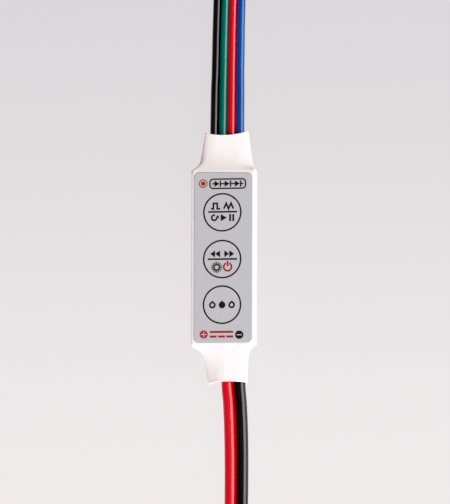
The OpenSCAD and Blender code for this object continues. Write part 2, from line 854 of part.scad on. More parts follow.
shrink_sleeve();
face_label();
inner_cover();
circuit_board();
solder_pads();
key_film(0);  // mode_key
key_film(1);  // speed_key
key_film(2);  // color_key
key_zone(0);  // mode_pad
key_zone(1);  // speed_pad
key_zone(2);  // color_pad
plunger(0);  // mode_plunger
plunger(1);  // speed_plunger
plunger(2);  // color_plunger
snap_dome(0);  // mode_dome
snap_dome(1);  // speed_dome
snap_dome(2);  // color_dome
switch_base(0);  // mode_switch_base
switch_base(1);  // speed_switch_base
switch_base(2);  // color_switch_base
switch_frame(0);  // mode_switch_frame
switch_frame(1);  // speed_switch_frame
switch_frame(2);  // color_switch_frame
switch_terminals();
microcontroller();
microcontroller_leads();
output_transistors();
transistor_leads();
voltage_regulator();
regulator_leads();
reverse_diode();
diode_leads();
chip_resistors();
chip_capacitors();
chip_end_caps();
output_conductors();
power_conductors();
output_solder_joints();
power_solder_joints();
color("#151515") output_wire(out_places[0]);  // output_wire_black
color("#007060") output_wire(out_places[1]);  // output_wire_green
color("#d21424") output_wire(out_places[2]);  // output_wire_red
color("#0a4a94") output_wire(out_places[3]);  // output_wire_blue
color("#d21424") power_wire(in_places[0]);  // power_wire_red
color("#151515") power_wire(in_places[1]);  // power_wire_black
output_connector();
connector_contacts();
power_tinned_ends();
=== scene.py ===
"""Looks of an inline controller for a colour light strip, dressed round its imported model.

The controller lies on its back on the floor, keys up, with its output lead along +Y and its power lead
along -Y. Sizes in the classes are millimetres in the model's own frame, and meshes are made in metres.
"""
import json
import logging
import math
from bisect import bisect_right
from dataclasses import dataclass, field
from enum import Enum
from functools import cache
from typing import Iterable, Sequence

import bmesh
import bpy
from mathutils import Matrix, Vector, noise


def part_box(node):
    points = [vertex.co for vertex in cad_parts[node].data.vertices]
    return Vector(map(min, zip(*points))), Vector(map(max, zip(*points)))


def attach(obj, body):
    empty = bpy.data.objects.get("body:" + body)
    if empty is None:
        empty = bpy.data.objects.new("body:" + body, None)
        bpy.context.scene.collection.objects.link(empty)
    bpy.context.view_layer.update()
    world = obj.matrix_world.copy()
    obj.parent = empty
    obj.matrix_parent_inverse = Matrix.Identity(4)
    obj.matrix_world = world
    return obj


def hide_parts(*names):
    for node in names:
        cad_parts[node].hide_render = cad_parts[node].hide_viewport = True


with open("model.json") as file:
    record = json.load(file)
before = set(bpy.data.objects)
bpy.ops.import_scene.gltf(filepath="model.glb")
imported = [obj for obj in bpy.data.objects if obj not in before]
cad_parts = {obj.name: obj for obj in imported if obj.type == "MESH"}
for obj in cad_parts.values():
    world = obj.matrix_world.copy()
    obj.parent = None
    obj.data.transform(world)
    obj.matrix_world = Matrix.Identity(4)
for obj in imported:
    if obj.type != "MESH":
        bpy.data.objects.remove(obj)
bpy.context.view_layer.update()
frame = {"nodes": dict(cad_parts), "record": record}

log = logging.getLogger("controller")

MM = 0.001

# Width of the cut between the film of a key and the film round it.
KEY_GAP = 0.05
# How far a printed ring stands over the cut edge of its film, and how much of the film it goes down.
RING_OVER = 0.015
RING_DEPTH = 0.95

Point = tuple[float, float]
Triple = tuple[float, float, float]
Outline = list[Point]
Socket = bpy.types.NodeSocket
Material = bpy.types.Material
Mesh = bpy.types.Mesh
Piece = bpy.types.Object


class Body(Enum):
    """The bodies that pieces ride on."""

    CONTROLLER = "controller"
    MODE = "mode_button"
    SPEED = "speed_button"
    COLOR = "color_button"


class Slot(Enum):
    """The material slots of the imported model."""

    SLEEVE = "sleeve_white"
    LABEL = "label_grey"
    COVER = "cover_white"
    BOARD = "board_green"
    COPPER = "copper"
    SOLDER = "solder"
    STEEL = "switch_steel"
    SWITCH = "switch_black"
    PLUNGER = "plunger_ivory"
    CHIP = "chip_black"
    RESISTOR = "resistor_black"
    CAPACITOR = "capacitor_tan"
    BLACK = "wire_black"
    GREEN = "wire_green"
    RED = "wire_red"
    BLUE = "wire_blue"
    CONNECTOR = "connector_black"
    GOLD = "contact_gold"


class Ink(Enum):
    """The two inks of the face."""

    BLACK = "ink_black"
    RED = "ink_red"


class Nodes:
    """A tree of nodes under construction."""

    def __init__(self, tree: bpy.types.NodeTree) -> None:
        """Starts with the tree that the nodes go into."""
        self.tree = tree

    def give(self, socket: Socket, value: object) -> None:
        """Gives an input its value.

        Args:
            socket: The input.
            value: A number or colour, or a socket that it is linked to.
        """
        if isinstance(value, Socket):
            self.tree.links.new(value, socket)
        else:
            socket.default_value = value

    def add(self, kind: str, inputs: dict | None = None, **settings: object) -> bpy.types.Node:
        """Adds a node.

        Args:
            kind: Type of the node.
            inputs: Values or sockets for its inputs, by name or number.
            settings: Properties of the node.

        Returns:
            The node.
        """
        node = self.tree.nodes.new(kind)
        for key, value in settings.items():
            setattr(node, key, value)
        for key, value in (inputs or {}).items():
            self.give(node.inputs[key], value)
        return node

    def step(self, kind: str, inputs: dict | None = None, **settings: object) -> Socket:
        """Adds a node and returns its first output."""
        return self.add(kind, inputs, **settings).outputs[0]

    def vector(self, **parts: object) -> Socket:
        """Puts a vector together from its X, Y and Z."""
        return self.step("ShaderNodeCombineXYZ", parts)


class Shader(Nodes):
    """A material under construction: one principled shader and the nodes that feed it."""

    layer_strength = 0.55

    def __init__(self, name: str) -> None:
        """Starts an empty material.

        Args:
            name: Name of the material.
        """
        self.material = bpy.data.materials.new(name)
        self.material.use_nodes = True
        super().__init__(self.material.node_tree)
        self.surface = self.tree.nodes["Principled BSDF"]
        self.place = self.add("ShaderNodeTexCoord").outputs["Object"]

    def set(self, **values: object) -> None:
        """Sets the shader's own sockets, where an underscore stands for a space."""
        for key, value in values.items():
            self.give(self.surface.inputs[key.replace("_", " ")], value)

    def stretched(self, scale: Triple, source: Socket | None = None) -> Socket:
        """Scales the given coordinates, or the piece's own."""
        return self.step("ShaderNodeMapping", {"Vector": source or self.place, "Scale": scale})

    def cloud(self, feature: float, where: Socket | None = None, layers: float = 3.0) -> Socket:
        """Makes a cloudy pattern.

        Args:
            feature: Size of its features in millimetres.
            where: Its coordinates, or the piece's own where none are given.
            layers: Number of finer layers.

        Returns:
            The pattern, from 0 to 1.
        """
        return self.step("ShaderNodeTexNoise", {
            "Vector": where or self.place, "Scale": 1 / (feature * MM), "Detail": layers,
            "Roughness": self.layer_strength})

    def between(self, share: Socket, low: float, high: float, start: float = 0.3, end: float = 0.7) -> Socket:
        """Maps a pattern, from start to end, onto the numbers from low to high."""
        return self.step("ShaderNodeMapRange", {
            "Value": share, "From Min": start, "From Max": end, "To Min": low, "To Max": high})

    def tint(self, share: Socket, low: Triple, high: Triple, start: float = 0.3, end: float = 0.7) -> Socket:
        """Maps a pattern onto a range of colours.

        Args:
            share: The pattern.
            low: Colour at start.
            high: Colour at end.
            start: Value of the pattern at the low colour.
            end: Value of the pattern at the high colour.

        Returns:
            The colour.
        """
        node = self.add("ShaderNodeValToRGB", {"Fac": share})
        first, last = node.color_ramp.elements
        first.position, last.position = start, end
        first.color, last.color = (*low, 1), (*high, 1)
        return node.outputs["Color"]

    def relief(self, height: Socket, depth: float, under: Socket | None = None) -> Socket:
        """Turns a pattern into relief.

        Args:
            height: The pattern.
            depth: Depth of the relief in millimetres.
            under: The relief that this one lies on, if any.

        Returns:
            The normal.
        """
        inputs = {"Height": height, "Distance": depth * MM, "Strength": 1.0}
        if under is not None:
            inputs["Normal"] = under
        return self.step("ShaderNodeBump", inputs)


@dataclass(frozen=True)
class Finish:
    """A surface with a cloudy colour, an uneven gloss and a fine grain."""

    colour: Triple
    shade: Triple
    gloss: Point = (0.4, 0.5)
    mottle: float = 2.0
    grain: float = 0.15
    grain_depth: float = 0.003
    swell: float = 1.2
    swell_depth: float = 0.0
    metal: float = 0.0
    specular: float = 0.5
    glow: float = 0.0
    glow_radii: Triple = (1.0, 0.9, 0.85)
    glow_depth: float = 0.1
    gloss_share: float = 1 / 3
    stretch: Triple = (1.0, 1.0, 1.0)

    def material(self, name: str) -> Material:
        """Builds the finish.

        Args:
            name: Name of the material.

        Returns:
            The material.
        """
        shader = Shader(name)
        where = shader.stretched(self.stretch)
        normal = shader.relief(shader.cloud(self.grain, where, layers=2.0), self.grain_depth)
        if self.swell_depth:
            normal = shader.relief(shader.cloud(self.swell, where, layers=1.0), self.swell_depth, normal)
        shader.set(
            Base_Color=shader.tint(shader.cloud(self.mottle, where), self.shade, self.colour),
            Roughness=shader.between(shader.cloud(self.mottle * self.gloss_share, where), *self.gloss),
            Normal=normal, Metallic=self.metal, Specular_IOR_Level=self.specular)
        if self.glow:
            shader.set(Subsurface_Weight=self.glow, Subsurface_Radius=self.glow_radii,
                       Subsurface_Scale=self.glow_depth * MM)
        return shader.material


@dataclass(frozen=True)
class Insulation:
    """Extruded insulation: a glossy colour with fine drawn streaks, soft ripples and a faint bloom.

    Each pattern has the size of its features round the core, their scale along it, and its finer layers.
    """

    colour: Triple
    shade: Triple
    gloss: Point = (0.13, 0.22)
    specular: float = 0.66
    streaks: Triple = (0.12, 0.02, 2.0)
    streak_depth: float = 0.0012
    ripples: Triple = (1.6, 0.35, 1.0)
    ripple_depth: float = 0.006
    bloom: Triple = (3.0, 0.4, 3.0)

    def material(self, name: str) -> Material:
        """Builds the finish, along and around the core by the attributes of its mesh.

        Args:
            name: Name of the material.

        Returns:
            The material.
        """
        shader = Shader(name)
        along, around = (shader.add("ShaderNodeAttribute", attribute_name=label).outputs["Fac"]
                         for label in ("along", "around"))
        where = shader.vector(X=around, Y=along)
        streaks, ripples, bloom = (
            shader.cloud(feature, shader.stretched((1.0, scale, 1.0), where), layers)
            for feature, scale, layers in (self.streaks, self.ripples, self.bloom))
        normal = shader.relief(ripples, self.ripple_depth, shader.relief(streaks, self.streak_depth))
        shader.set(
            Base_Color=shader.tint(bloom, self.shade, self.colour),
            Roughness=shader.between(streaks, *self.gloss),
            Normal=normal, Specular_IOR_Level=self.specular)
        return shader.material


@dataclass(frozen=True)
class SolderMask:
    """A lacquered board: tracks under the lacquer, drawn as soft-edged lanes."""

    colour: Triple = (0.012, 0.13, 0.05)
    track: Triple = (0.03, 0.22, 0.09)
    lane: float = 1.1
    lane_gap: float = 0.03
    lane_blur: float = 0.3
    lane_run: float = 1.7
    lane_row: float = 0.25
    lane_shift: float = 0.35
    lane_edge: Point = (0.2, 0.6)
    depth: float = 0.03
    grain: float = 0.2
    grain_depth: float = 0.002
    mottle: float = 1.5
    gloss: Point = (0.25, 0.4)
    lacquer: float = 0.3

    def material(self, name: str) -> Material:
        """Builds the finish.

        Args:
            name: Name of the material.

        Returns:
            The material.
        """
        shader = Shader(name)
        lanes = shader.add("ShaderNodeTexBrick", {
            "Vector": shader.place, "Scale": self.lane_row / (self.lane * MM), "Mortar Size": self.lane_gap,
            "Mortar Smooth": self.lane_blur, "Brick Width": self.lane_run, "Row Height": self.lane_row},
            offset=self.lane_shift).outputs["Fac"]
        grain = shader.relief(shader.cloud(self.grain), self.grain_depth)
        shader.set(
            Base_Color=shader.tint(lanes, self.track, self.colour, *self.lane_edge),
            Roughness=shader.between(shader.cloud(self.mottle), *self.gloss),
            Normal=shader.relief(lanes, -self.depth, grain), Coat_Weight=self.lacquer)
        return shader.material


WHITE = (0.9, 0.815, 0.805)
GREY = (0.41, 0.4, 0.42)

FINISHES: dict[Slot | Ink, Finish | Insulation | SolderMask] = {
    Slot.SLEEVE: Finish(WHITE, (0.885, 0.792, 0.782), (0.38, 0.5), 3.0, 0.12, 0.0015, 1.4, 0.012,
                        specular=0.22, glow=1.0),
    Slot.LABEL: Finish(GREY, (0.394, 0.385, 0.402), (0.5, 0.62), 0.5, 0.09, 0.004, specular=0.3),
    Slot.COVER: Finish((0.8, 0.79, 0.76), (0.76, 0.75, 0.72), (0.35, 0.5), 3.0),
    Slot.BOARD: SolderMask(),
    Slot.COPPER: Finish((0.84, 0.5, 0.3), (0.7, 0.4, 0.22), (0.2, 0.35), 0.8, 0.1, 0.004, metal=1.0),
    Slot.SOLDER: Finish((0.74, 0.74, 0.76), (0.58, 0.58, 0.6), (0.15, 0.35), 0.7, 0.12, 0.006, metal=1.0),
    Slot.STEEL: Finish((0.7, 0.7, 0.71), (0.6, 0.6, 0.61), (0.22, 0.38), 0.6, 0.08, 0.002, metal=1.0,
                       stretch=(0.15, 1.0, 1.0)),
    Slot.SWITCH: Finish((0.025, 0.025, 0.026), (0.018, 0.018, 0.018), (0.4, 0.55), 1.0, 0.1, 0.004),
    Slot.PLUNGER: Finish((0.72, 0.68, 0.56), (0.66, 0.62, 0.5), (0.35, 0.5), 1.0, 0.1, 0.003),
    Slot.CHIP: Finish((0.02, 0.02, 0.022), (0.014, 0.014, 0.015), (0.5, 0.65), 0.8, 0.06, 0.006),
    Slot.RESISTOR: Finish((0.02, 0.02, 0.02), (0.012, 0.012, 0.014), (0.2, 0.4), 0.6, 0.08, 0.002),
    Slot.CAPACITOR: Finish((0.36, 0.24, 0.13), (0.29, 0.19, 0.1), (0.4, 0.55), 0.5, 0.06, 0.004),
    Slot.BLACK: Insulation((0.006, 0.005, 0.006), (0.009, 0.008, 0.009)),
    Slot.GREEN: Insulation((0.0, 0.13, 0.1), (0.001, 0.115, 0.088)),
    Slot.RED: Insulation((0.56, 0.0075, 0.017), (0.52, 0.008, 0.017)),
    Slot.BLUE: Insulation((0.001, 0.062, 0.27), (0.002, 0.056, 0.24)),
    Slot.CONNECTOR: Finish((0.018, 0.018, 0.018), (0.012, 0.012, 0.012), (0.32, 0.5), 2.0, 0.12, 0.005),
    Slot.GOLD: Finish((0.83, 0.6, 0.24), (0.72, 0.5, 0.18), (0.18, 0.32), 0.8, 0.08, 0.003, metal=1.0),
    Ink.BLACK: Finish((0.014, 0.009, 0.009), (0.022, 0.015, 0.014), (0.45, 0.6), 0.35, 0.06, 0.003,
                      specular=0.22),
    Ink.RED: Finish((0.27, 0.016, 0.011), (0.33, 0.025, 0.018), (0.45, 0.6), 0.35, 0.06, 0.003,
                    specular=0.22),
}


@cache
def material_of(key: Slot | Ink) -> Material:
    """Returns the material of a slot or an ink, made when it is first asked for."""
    return FINISHES[key].material(key.value)


class Tree(Nodes):
    """A geometry node group, whose last steps are Realize Instances and Set Material."""

    def __init__(self, name: str, inputs: dict[str, str]) -> None:
        """Starts a group with a geometry, the given inputs and a material.

        Args:
            name: Name of the group.
            inputs: Name of each input and its kind: Float, Int or Vector.
        """
        super().__init__(bpy.data.node_groups.new(name, "GeometryNodeTree"))
        sides = self.tree.interface
        sides.new_socket("Geometry", in_out="INPUT", socket_type="NodeSocketGeometry")
        self.sockets = {
            label: sides.new_socket(label, in_out="INPUT", socket_type="NodeSocket" + kind).identifier
            for label, kind in {**inputs, "Material": "Material"}.items()}
        sides.new_socket("Geometry", in_out="OUTPUT", socket_type="NodeSocketGeometry")
        self.given = self.tree.nodes.new("NodeGroupInput").outputs

    def maths(self, operation: str, first: object, second: object) -> Socket:
        """Returns the result of a sum of two numbers or sockets."""
        return self.step("ShaderNodeMath", {0: first, 1: second}, operation=operation)

    def wheel(self, spoke: Socket, count: Socket) -> Socket:
        """Repeats a spoke round the Z axis.

        Args:
            spoke: The geometry of one spoke.
            count: Number of spokes.

        Returns:
            The spokes, as instances.
        """
        dots = self.step("GeometryNodeMeshLine", {"Count": count, "Offset": (0.0, 0.0, 0.0)})
        share = self.maths("DIVIDE", math.tau, count)
        angle = self.maths("MULTIPLY", self.step("GeometryNodeInputIndex"), share)
        turned = self.step("FunctionNodeAxisAngleToRotation", {"Axis": (0.0, 0.0, 1.0), "Angle": angle})
        return self.step("GeometryNodeInstanceOnPoints", {
            "Points": dots, "Instance": spoke, "Rotation": turned})

    def close(self, geometry: Socket) -> None:
        """Ends the group.

        Args:
            geometry: The geometry to give out.
        """
        smooth = self.step("GeometryNodeSetShadeSmooth", {"Geometry": geometry})
        real = self.step("GeometryNodeRealizeInstances", {"Geometry": smooth})
        dressed = self.step("GeometryNodeSetMaterial", {
            "Geometry": real, "Material": self.given["Material"]})
        self.give(self.tree.nodes.new("NodeGroupOutput").inputs[0], dressed)

    def run(self, base: Mesh, values: dict[str, object]) -> Mesh:
        """Runs the group on a mesh and returns the result as a plain mesh.

        Args:
            base: The mesh that the group starts from.
            values: A value for each of its inputs.

        Returns:
            The finished mesh.
        """
        carrier = linked(base.name, base)
        modifier = carrier.modifiers.new(self.tree.name, "NODES")
        modifier.node_group = self.tree
        for label, value in values.items():
            modifier[self.sockets[label]] = value
        return plain(carrier, keep_layers=True)


def linked(name: str, data: bpy.types.ID) -> Piece:
    """Makes an object for a mesh, curve, light or camera, and links it to the scene.

    Args:
        name: Name of the object.
        data: Its mesh, curve, light or camera.

    Returns:
        The object.
    """
    piece = bpy.data.objects.new(name, data)
    bpy.context.scene.collection.objects.link(piece)
    return piece


def plain(carrier: Piece, keep_layers: bool = False) -> Mesh:
    """Turns an object and its modifiers into a plain mesh, and removes the object.

    Args:
        carrier: The object.
        keep_layers: Whether every layer of its mesh is kept.

    Returns:
        The mesh.
    """
    graph = bpy.context.evaluated_depsgraph_get()
    mesh = bpy.data.meshes.new_from_object(
        carrier.evaluated_get(graph), preserve_all_data_layers=keep_layers, depsgraph=graph)
    bpy.data.objects.remove(carrier)
    return mesh


def mesh_of(name: str, vertices: Iterable[Sequence[float]], faces: Sequence[Sequence[int]] = (),
            edges: Sequence[Sequence[int]] = ()) -> Mesh:
    """Makes a mesh from points in millimetres.

    Args:
        name: Name of the mesh.
        vertices: Its points.
        faces: Its faces.
        edges: Its loose edges.

    Returns:
        The mesh, in metres.
    """
    mesh = bpy.data.meshes.new(name)
    mesh.from_pydata([tuple(c * MM for c in v) for v in vertices], edges, faces)
    return mesh


def lofted(name: str, rings: Sequence[Sequence[Triple]], closed: bool = False) -> Mesh:
    """Makes a skin through rings of points that run anticlockwise as seen from the first ring.

    Args:
        name: Name of the mesh.
        rings: The rings, with as many points each.
        closed: Whether the last ring joins the first. Otherwise both are capped.

    Returns:
        The mesh.
    """
    count, size = len(rings), len(rings[0])
    faces = [] if closed else [range(size), range(count * size - 1, (count - 1) * size - 1, -1)]
    for i in range(count if closed else count - 1):
        here, there = i * size, (i + 1) % count * size
        faces += [(here + j, there + j, there + (j + 1) % size, here + (j + 1) % size) for j in range(size)]
    return mesh_of(name, [point for ring in rings for point in ring], [tuple(face) for face in faces])


def smoothed(mesh: Mesh, angle: float = 40.0) -> Mesh:
    """Shades a mesh smooth except at its sharp edges.

    Args:
        mesh: The mesh.
        angle: Angle in degrees past which an edge is sharp.

    Returns:
        The same mesh.
    """
    mesh.shade_smooth()
    mesh.set_sharp_from_angle(angle=math.radians(angle))
    return mesh


def painted(mesh: Mesh, key: Slot | Ink) -> Mesh:
    """Gives a mesh its one material.

    Args:
        mesh: The mesh.
        key: The slot or ink.

    Returns:
        The same mesh.
    """
    mesh.materials.clear()
    mesh.materials.append(material_of(key))
    return mesh


def joined(name: str, meshes: Iterable[Mesh]) -> Mesh:
    """Joins meshes into one that keeps their materials and attributes.

    Args:
        name: Name of the joined mesh.
        meshes: The meshes.

    Returns:
        The joined mesh.
    """
    parts = [linked(name, mesh) for mesh in meshes]
    with bpy.context.temp_override(active_object=parts[0], selected_editable_objects=parts):
        bpy.ops.object.join()
    mesh = parts[0].data
    bpy.data.objects.remove(parts[0])
    mesh.name = name
    return mesh


def cut_from(mesh: Mesh, *tools: Mesh) -> Mesh:
    """Cuts solids out of a mesh.

    Args:
        mesh: The mesh.
        tools: The solids, cut one after another.

    Returns:
        What is left.
    """
    piece = linked(mesh.name, mesh)
    knives = [linked("knife", tool) for tool in tools]
    for knife in knives:
        modifier = piece.modifiers.new("cut", "BOOLEAN")
        modifier.operation, modifier.solver, modifier.object = "DIFFERENCE", "EXACT", knife
    result = plain(piece)
    for knife in knives:
        bpy.data.objects.remove(knife)
    return result


def solid_box(name: str, low: Sequence[float], high: Sequence[float], bevel: float = 0.0) -> Mesh:
    """Makes a block with rounded edges.

    Args:
        name: Name of the mesh.
        low: Its lowest corner.
        high: Its highest corner.
        bevel: Rounding of its edges.

    Returns:
        The mesh.
    """
    shape = bmesh.new()
    bmesh.ops.create_cube(shape, size=1.0)
    middle = [(a + b) / 2 * MM for a, b in zip(low, high)]
    size = [(b - a) * MM for a, b in zip(low, high)]
    for vertex in shape.verts:
        vertex.co = Vector([m + s * c for m, s, c in zip(middle, size, vertex.co)])
    if bevel:
        bmesh.ops.bevel(shape, geom=list(shape.edges), offset=bevel * MM, segments=3, profile=0.5,
                        affect="EDGES")
    mesh = bpy.data.meshes.new(name)
    shape.to_mesh(mesh)
    shape.free()
    return mesh


def put(mesh: Mesh, name: str, slot: Slot, *replaced: str, body: Body = Body.CONTROLLER) -> Piece:
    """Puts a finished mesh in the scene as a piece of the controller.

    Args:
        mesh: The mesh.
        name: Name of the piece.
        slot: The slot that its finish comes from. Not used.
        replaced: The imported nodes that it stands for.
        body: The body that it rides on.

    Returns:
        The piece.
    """
    mesh.name = name
    piece = linked(name, mesh)
    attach(piece, body.value)
    if replaced:
        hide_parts(*replaced)
    log.info("%s rides on %s, %d faces", name, body.value, len(mesh.polygons))
    return piece


def box_mm(node: str) -> tuple[Vector, Vector]:
    """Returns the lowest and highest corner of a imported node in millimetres."""
    low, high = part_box(node)
    return low / MM, high / MM


@dataclass
class Track:
    """A measure that follows knots smoothly and never passes beyond them."""

    knots: Sequence[float]
    values: Sequence[float]
    slopes: list[float] = field(init=False)

    def __post_init__(self) -> None:
        """Works out a slope at each knot, flat where the measure turns."""
        steps = [(b - a) / (q - p) for a, b, p, q in
                 zip(self.values, self.values[1:], self.knots, self.knots[1:])]
        inner = [0.0 if a * b <= 0 else 2 * a * b / (a + b) for a, b in zip(steps, steps[1:])]
        self.slopes = [steps[0], *inner, steps[-1]]

    def __call__(self, at: float) -> float:
        """Returns the measure at a place.

        Args:
            at: The place.

        Returns:
            The measure there.
        """
        i = min(max(bisect_right(self.knots, at) - 1, 0), len(self.knots) - 2)
        span = self.knots[i + 1] - self.knots[i]
        t = min(max((at - self.knots[i]) / span, 0.0), 1.0)
        rise = 3 * t * t - 2 * t ** 3
        return ((1 - rise) * self.values[i] + rise * self.values[i + 1]
                + span * (t * (1 - t) ** 2 * self.slopes[i] - t * t * (1 - t) * self.slopes[i + 1]))


class Film:
    """Flat closed outlines round a middle, which become one thin film. One inside another is a hole."""

    edge_steps = 2
    band_steps = 48
    least_cosine = 0.4
    sharp = 50.0

    def __init__(self, x: float = 0.0, y: float = 0.0) -> None:
        """Starts with no outline, round a middle at x and y."""
        self.x, self.y = x, y
        self.outlines: list[Outline] = []

    def outline(self, points: Iterable[Point]) -> "Film":
        """Adds a closed outline and returns the film."""
        self.outlines.append([(self.x + x, self.y + y) for x, y in points])
        return self

    def arc(self, x: float, y: float, r: float, start: float, end: float, steps: int = 12) -> Outline:
        """Returns points along an arc round x and y, between two angles in degrees."""
        angles = [math.radians(start + (end - start) * k / steps) for k in range(steps + 1)]
        return [(x + r * math.cos(a), y + r * math.sin(a)) for a in angles]

    def disc(self, x: float, y: float, r: float, steps: int = 96) -> "Film":
        """Adds a disc, or a round hole, and returns the film."""
        return self.outline(self.arc(x, y, r, 0, 360 - 360 / steps, steps - 1))

    def ring(self, x: float, y: float, outer: float, inner: float, steps: int = 96) -> "Film":
        """Adds a ring and returns the film."""
        return self.disc(x, y, outer, steps).disc(x, y, inner, steps)

    def plate(self, x: float, y: float, w: float, h: float, r: float) -> "Film":
        """Adds a plate with round corners.

        Args:
            x: Its middle across.
            y: Its middle along.
            w: Its width.
            h: Its height.
            r: Radius of its corners.

        Returns:
            The film.
        """
        corners = [(x + w / 2 - r, y + h / 2 - r), (x - w / 2 + r, y + h / 2 - r),
                   (x - w / 2 + r, y - h / 2 + r), (x + w / 2 - r, y - h / 2 + r)]
        return self.outline([p for k, (cx, cy) in enumerate(corners)
                             for p in self.arc(cx, cy, r, 90 * k, 90 * k + 90)])

    def band(self, x: float, y: float, outer: float, line: float, start: float, end: float) -> "Film":
        """Adds a part of a ring as wide as the line and returns the film."""
        inner = self.arc(x, y, outer - line, end, start, self.band_steps)
        return self.outline(self.arc(x, y, outer, start, end, self.band_steps) + inner)

    def stroke(self, points: Sequence[Point], line: float) -> "Film":
        """Adds a line with mitred corners.

        Args:
            points: The points that it passes.
            line: Its width.

        Returns:
            The film.
        """
        track = [Vector(p) for p in points]
        ways = [(b - a).normalized() for a, b in zip(track, track[1:])]
        left, right = [], []
        for i, point in enumerate(track):
            before, after = ways[max(i - 1, 0)], ways[min(i, len(ways) - 1)]
            side = Vector((-(before + after).y, (before + after).x)).normalized()
            reach = line / 2 / max(side.dot(Vector((-after.y, after.x))), self.least_cosine)
            left.append(tuple(point + side * reach))
            right.append(tuple(point - side * reach))
        return self.outline(left + right[::-1])

    def mesh(self, name: str, low: float, high: float, edge: float) -> Mesh:
        """Builds the film.

        Args:
            name: Name of the mesh.
            low: Height of its underside.
            high: Height of its face.
            edge: Rounding of its edges.

        Returns:
            The mesh.
        """
        curve = bpy.data.curves.new(name, "CURVE")
        curve.dimensions, curve.fill_mode = "2D", "BOTH"
        curve.extrude = ((high - low) / 2 - edge) * MM
        curve.bevel_depth, curve.offset, curve.bevel_resolution = edge * MM, -edge * MM, self.edge_steps
        for points in self.outlines:
            spline = curve.splines.new("POLY")
            spline.points.add(len(points) - 1)
            for knot, (x, y) in zip(spline.points, points):
                knot.co = (x * MM, y * MM, 0, 1)
            spline.use_cyclic_u = True
        mesh = plain(linked(name, curve))
        mesh.transform(Matrix.Translation((0, 0, (low + high) / 2 * MM)))
        return smoothed(mesh, self.sharp)


@dataclass(frozen=True)
class Press:
    """Prints ink on one film of the face."""

    body: Body
    top: float
    prefix: str = ""
    ink_t: float = 0.014
    ink_edge: float = 0.004
    sunk: float = 0.002

    def mesh(self, film: Film, name: str, depth: float) -> Mesh:
        """Returns the ink as a mesh that goes down into the film by a depth."""
        return film.mesh(name, self.top - depth, self.top + self.ink_t, self.ink_edge)

    def print(self, film: Film, name: str, ink: Ink, depth: float | None = None) -> Piece:
        """Prints one piece of ink.

        Args:
            film: The outlines of the ink.
            name: Name of the piece, after the prefix.
            ink: The ink.
            depth: Distance by which it goes down into the film, or that of a sign where none is given.

        Returns:
            The piece.
        """
        mesh = self.mesh(film, name, depth or self.sunk)
        return put(painted(mesh, ink), self.prefix + name, Slot.LABEL, body=self.body)


@dataclass(frozen=True)
class Panel:
    """A soft box: where it hangs, by its angles from upright, its size across and along, and its light."""

    name: str
    across: float
    along: float
    distance: float
    size: Point
    radiance: float
    mirrored: bool = True
    power_per_radiance: float = 4.0

    def hang(self) -> None:
        """Hangs the panel, facing the middle of the floor."""
        lamp = bpy.data.lights.new(self.name, "AREA")
        lamp.shape = "RECTANGLE"
        lamp.size_y, lamp.size = (side * MM for side in self.size)
        lamp.energy = self.power_per_radiance * self.radiance * lamp.size * lamp.size_y
        light = linked(self.name, lamp)
        light.visible_glossy = self.mirrored
        way = Vector((math.tan(math.radians(self.across)), math.tan(math.radians(self.along)), 1))
        light.location = way.normalized() * self.distance * MM
        light.rotation_euler = way.to_track_quat("Z", "Y").to_euler()


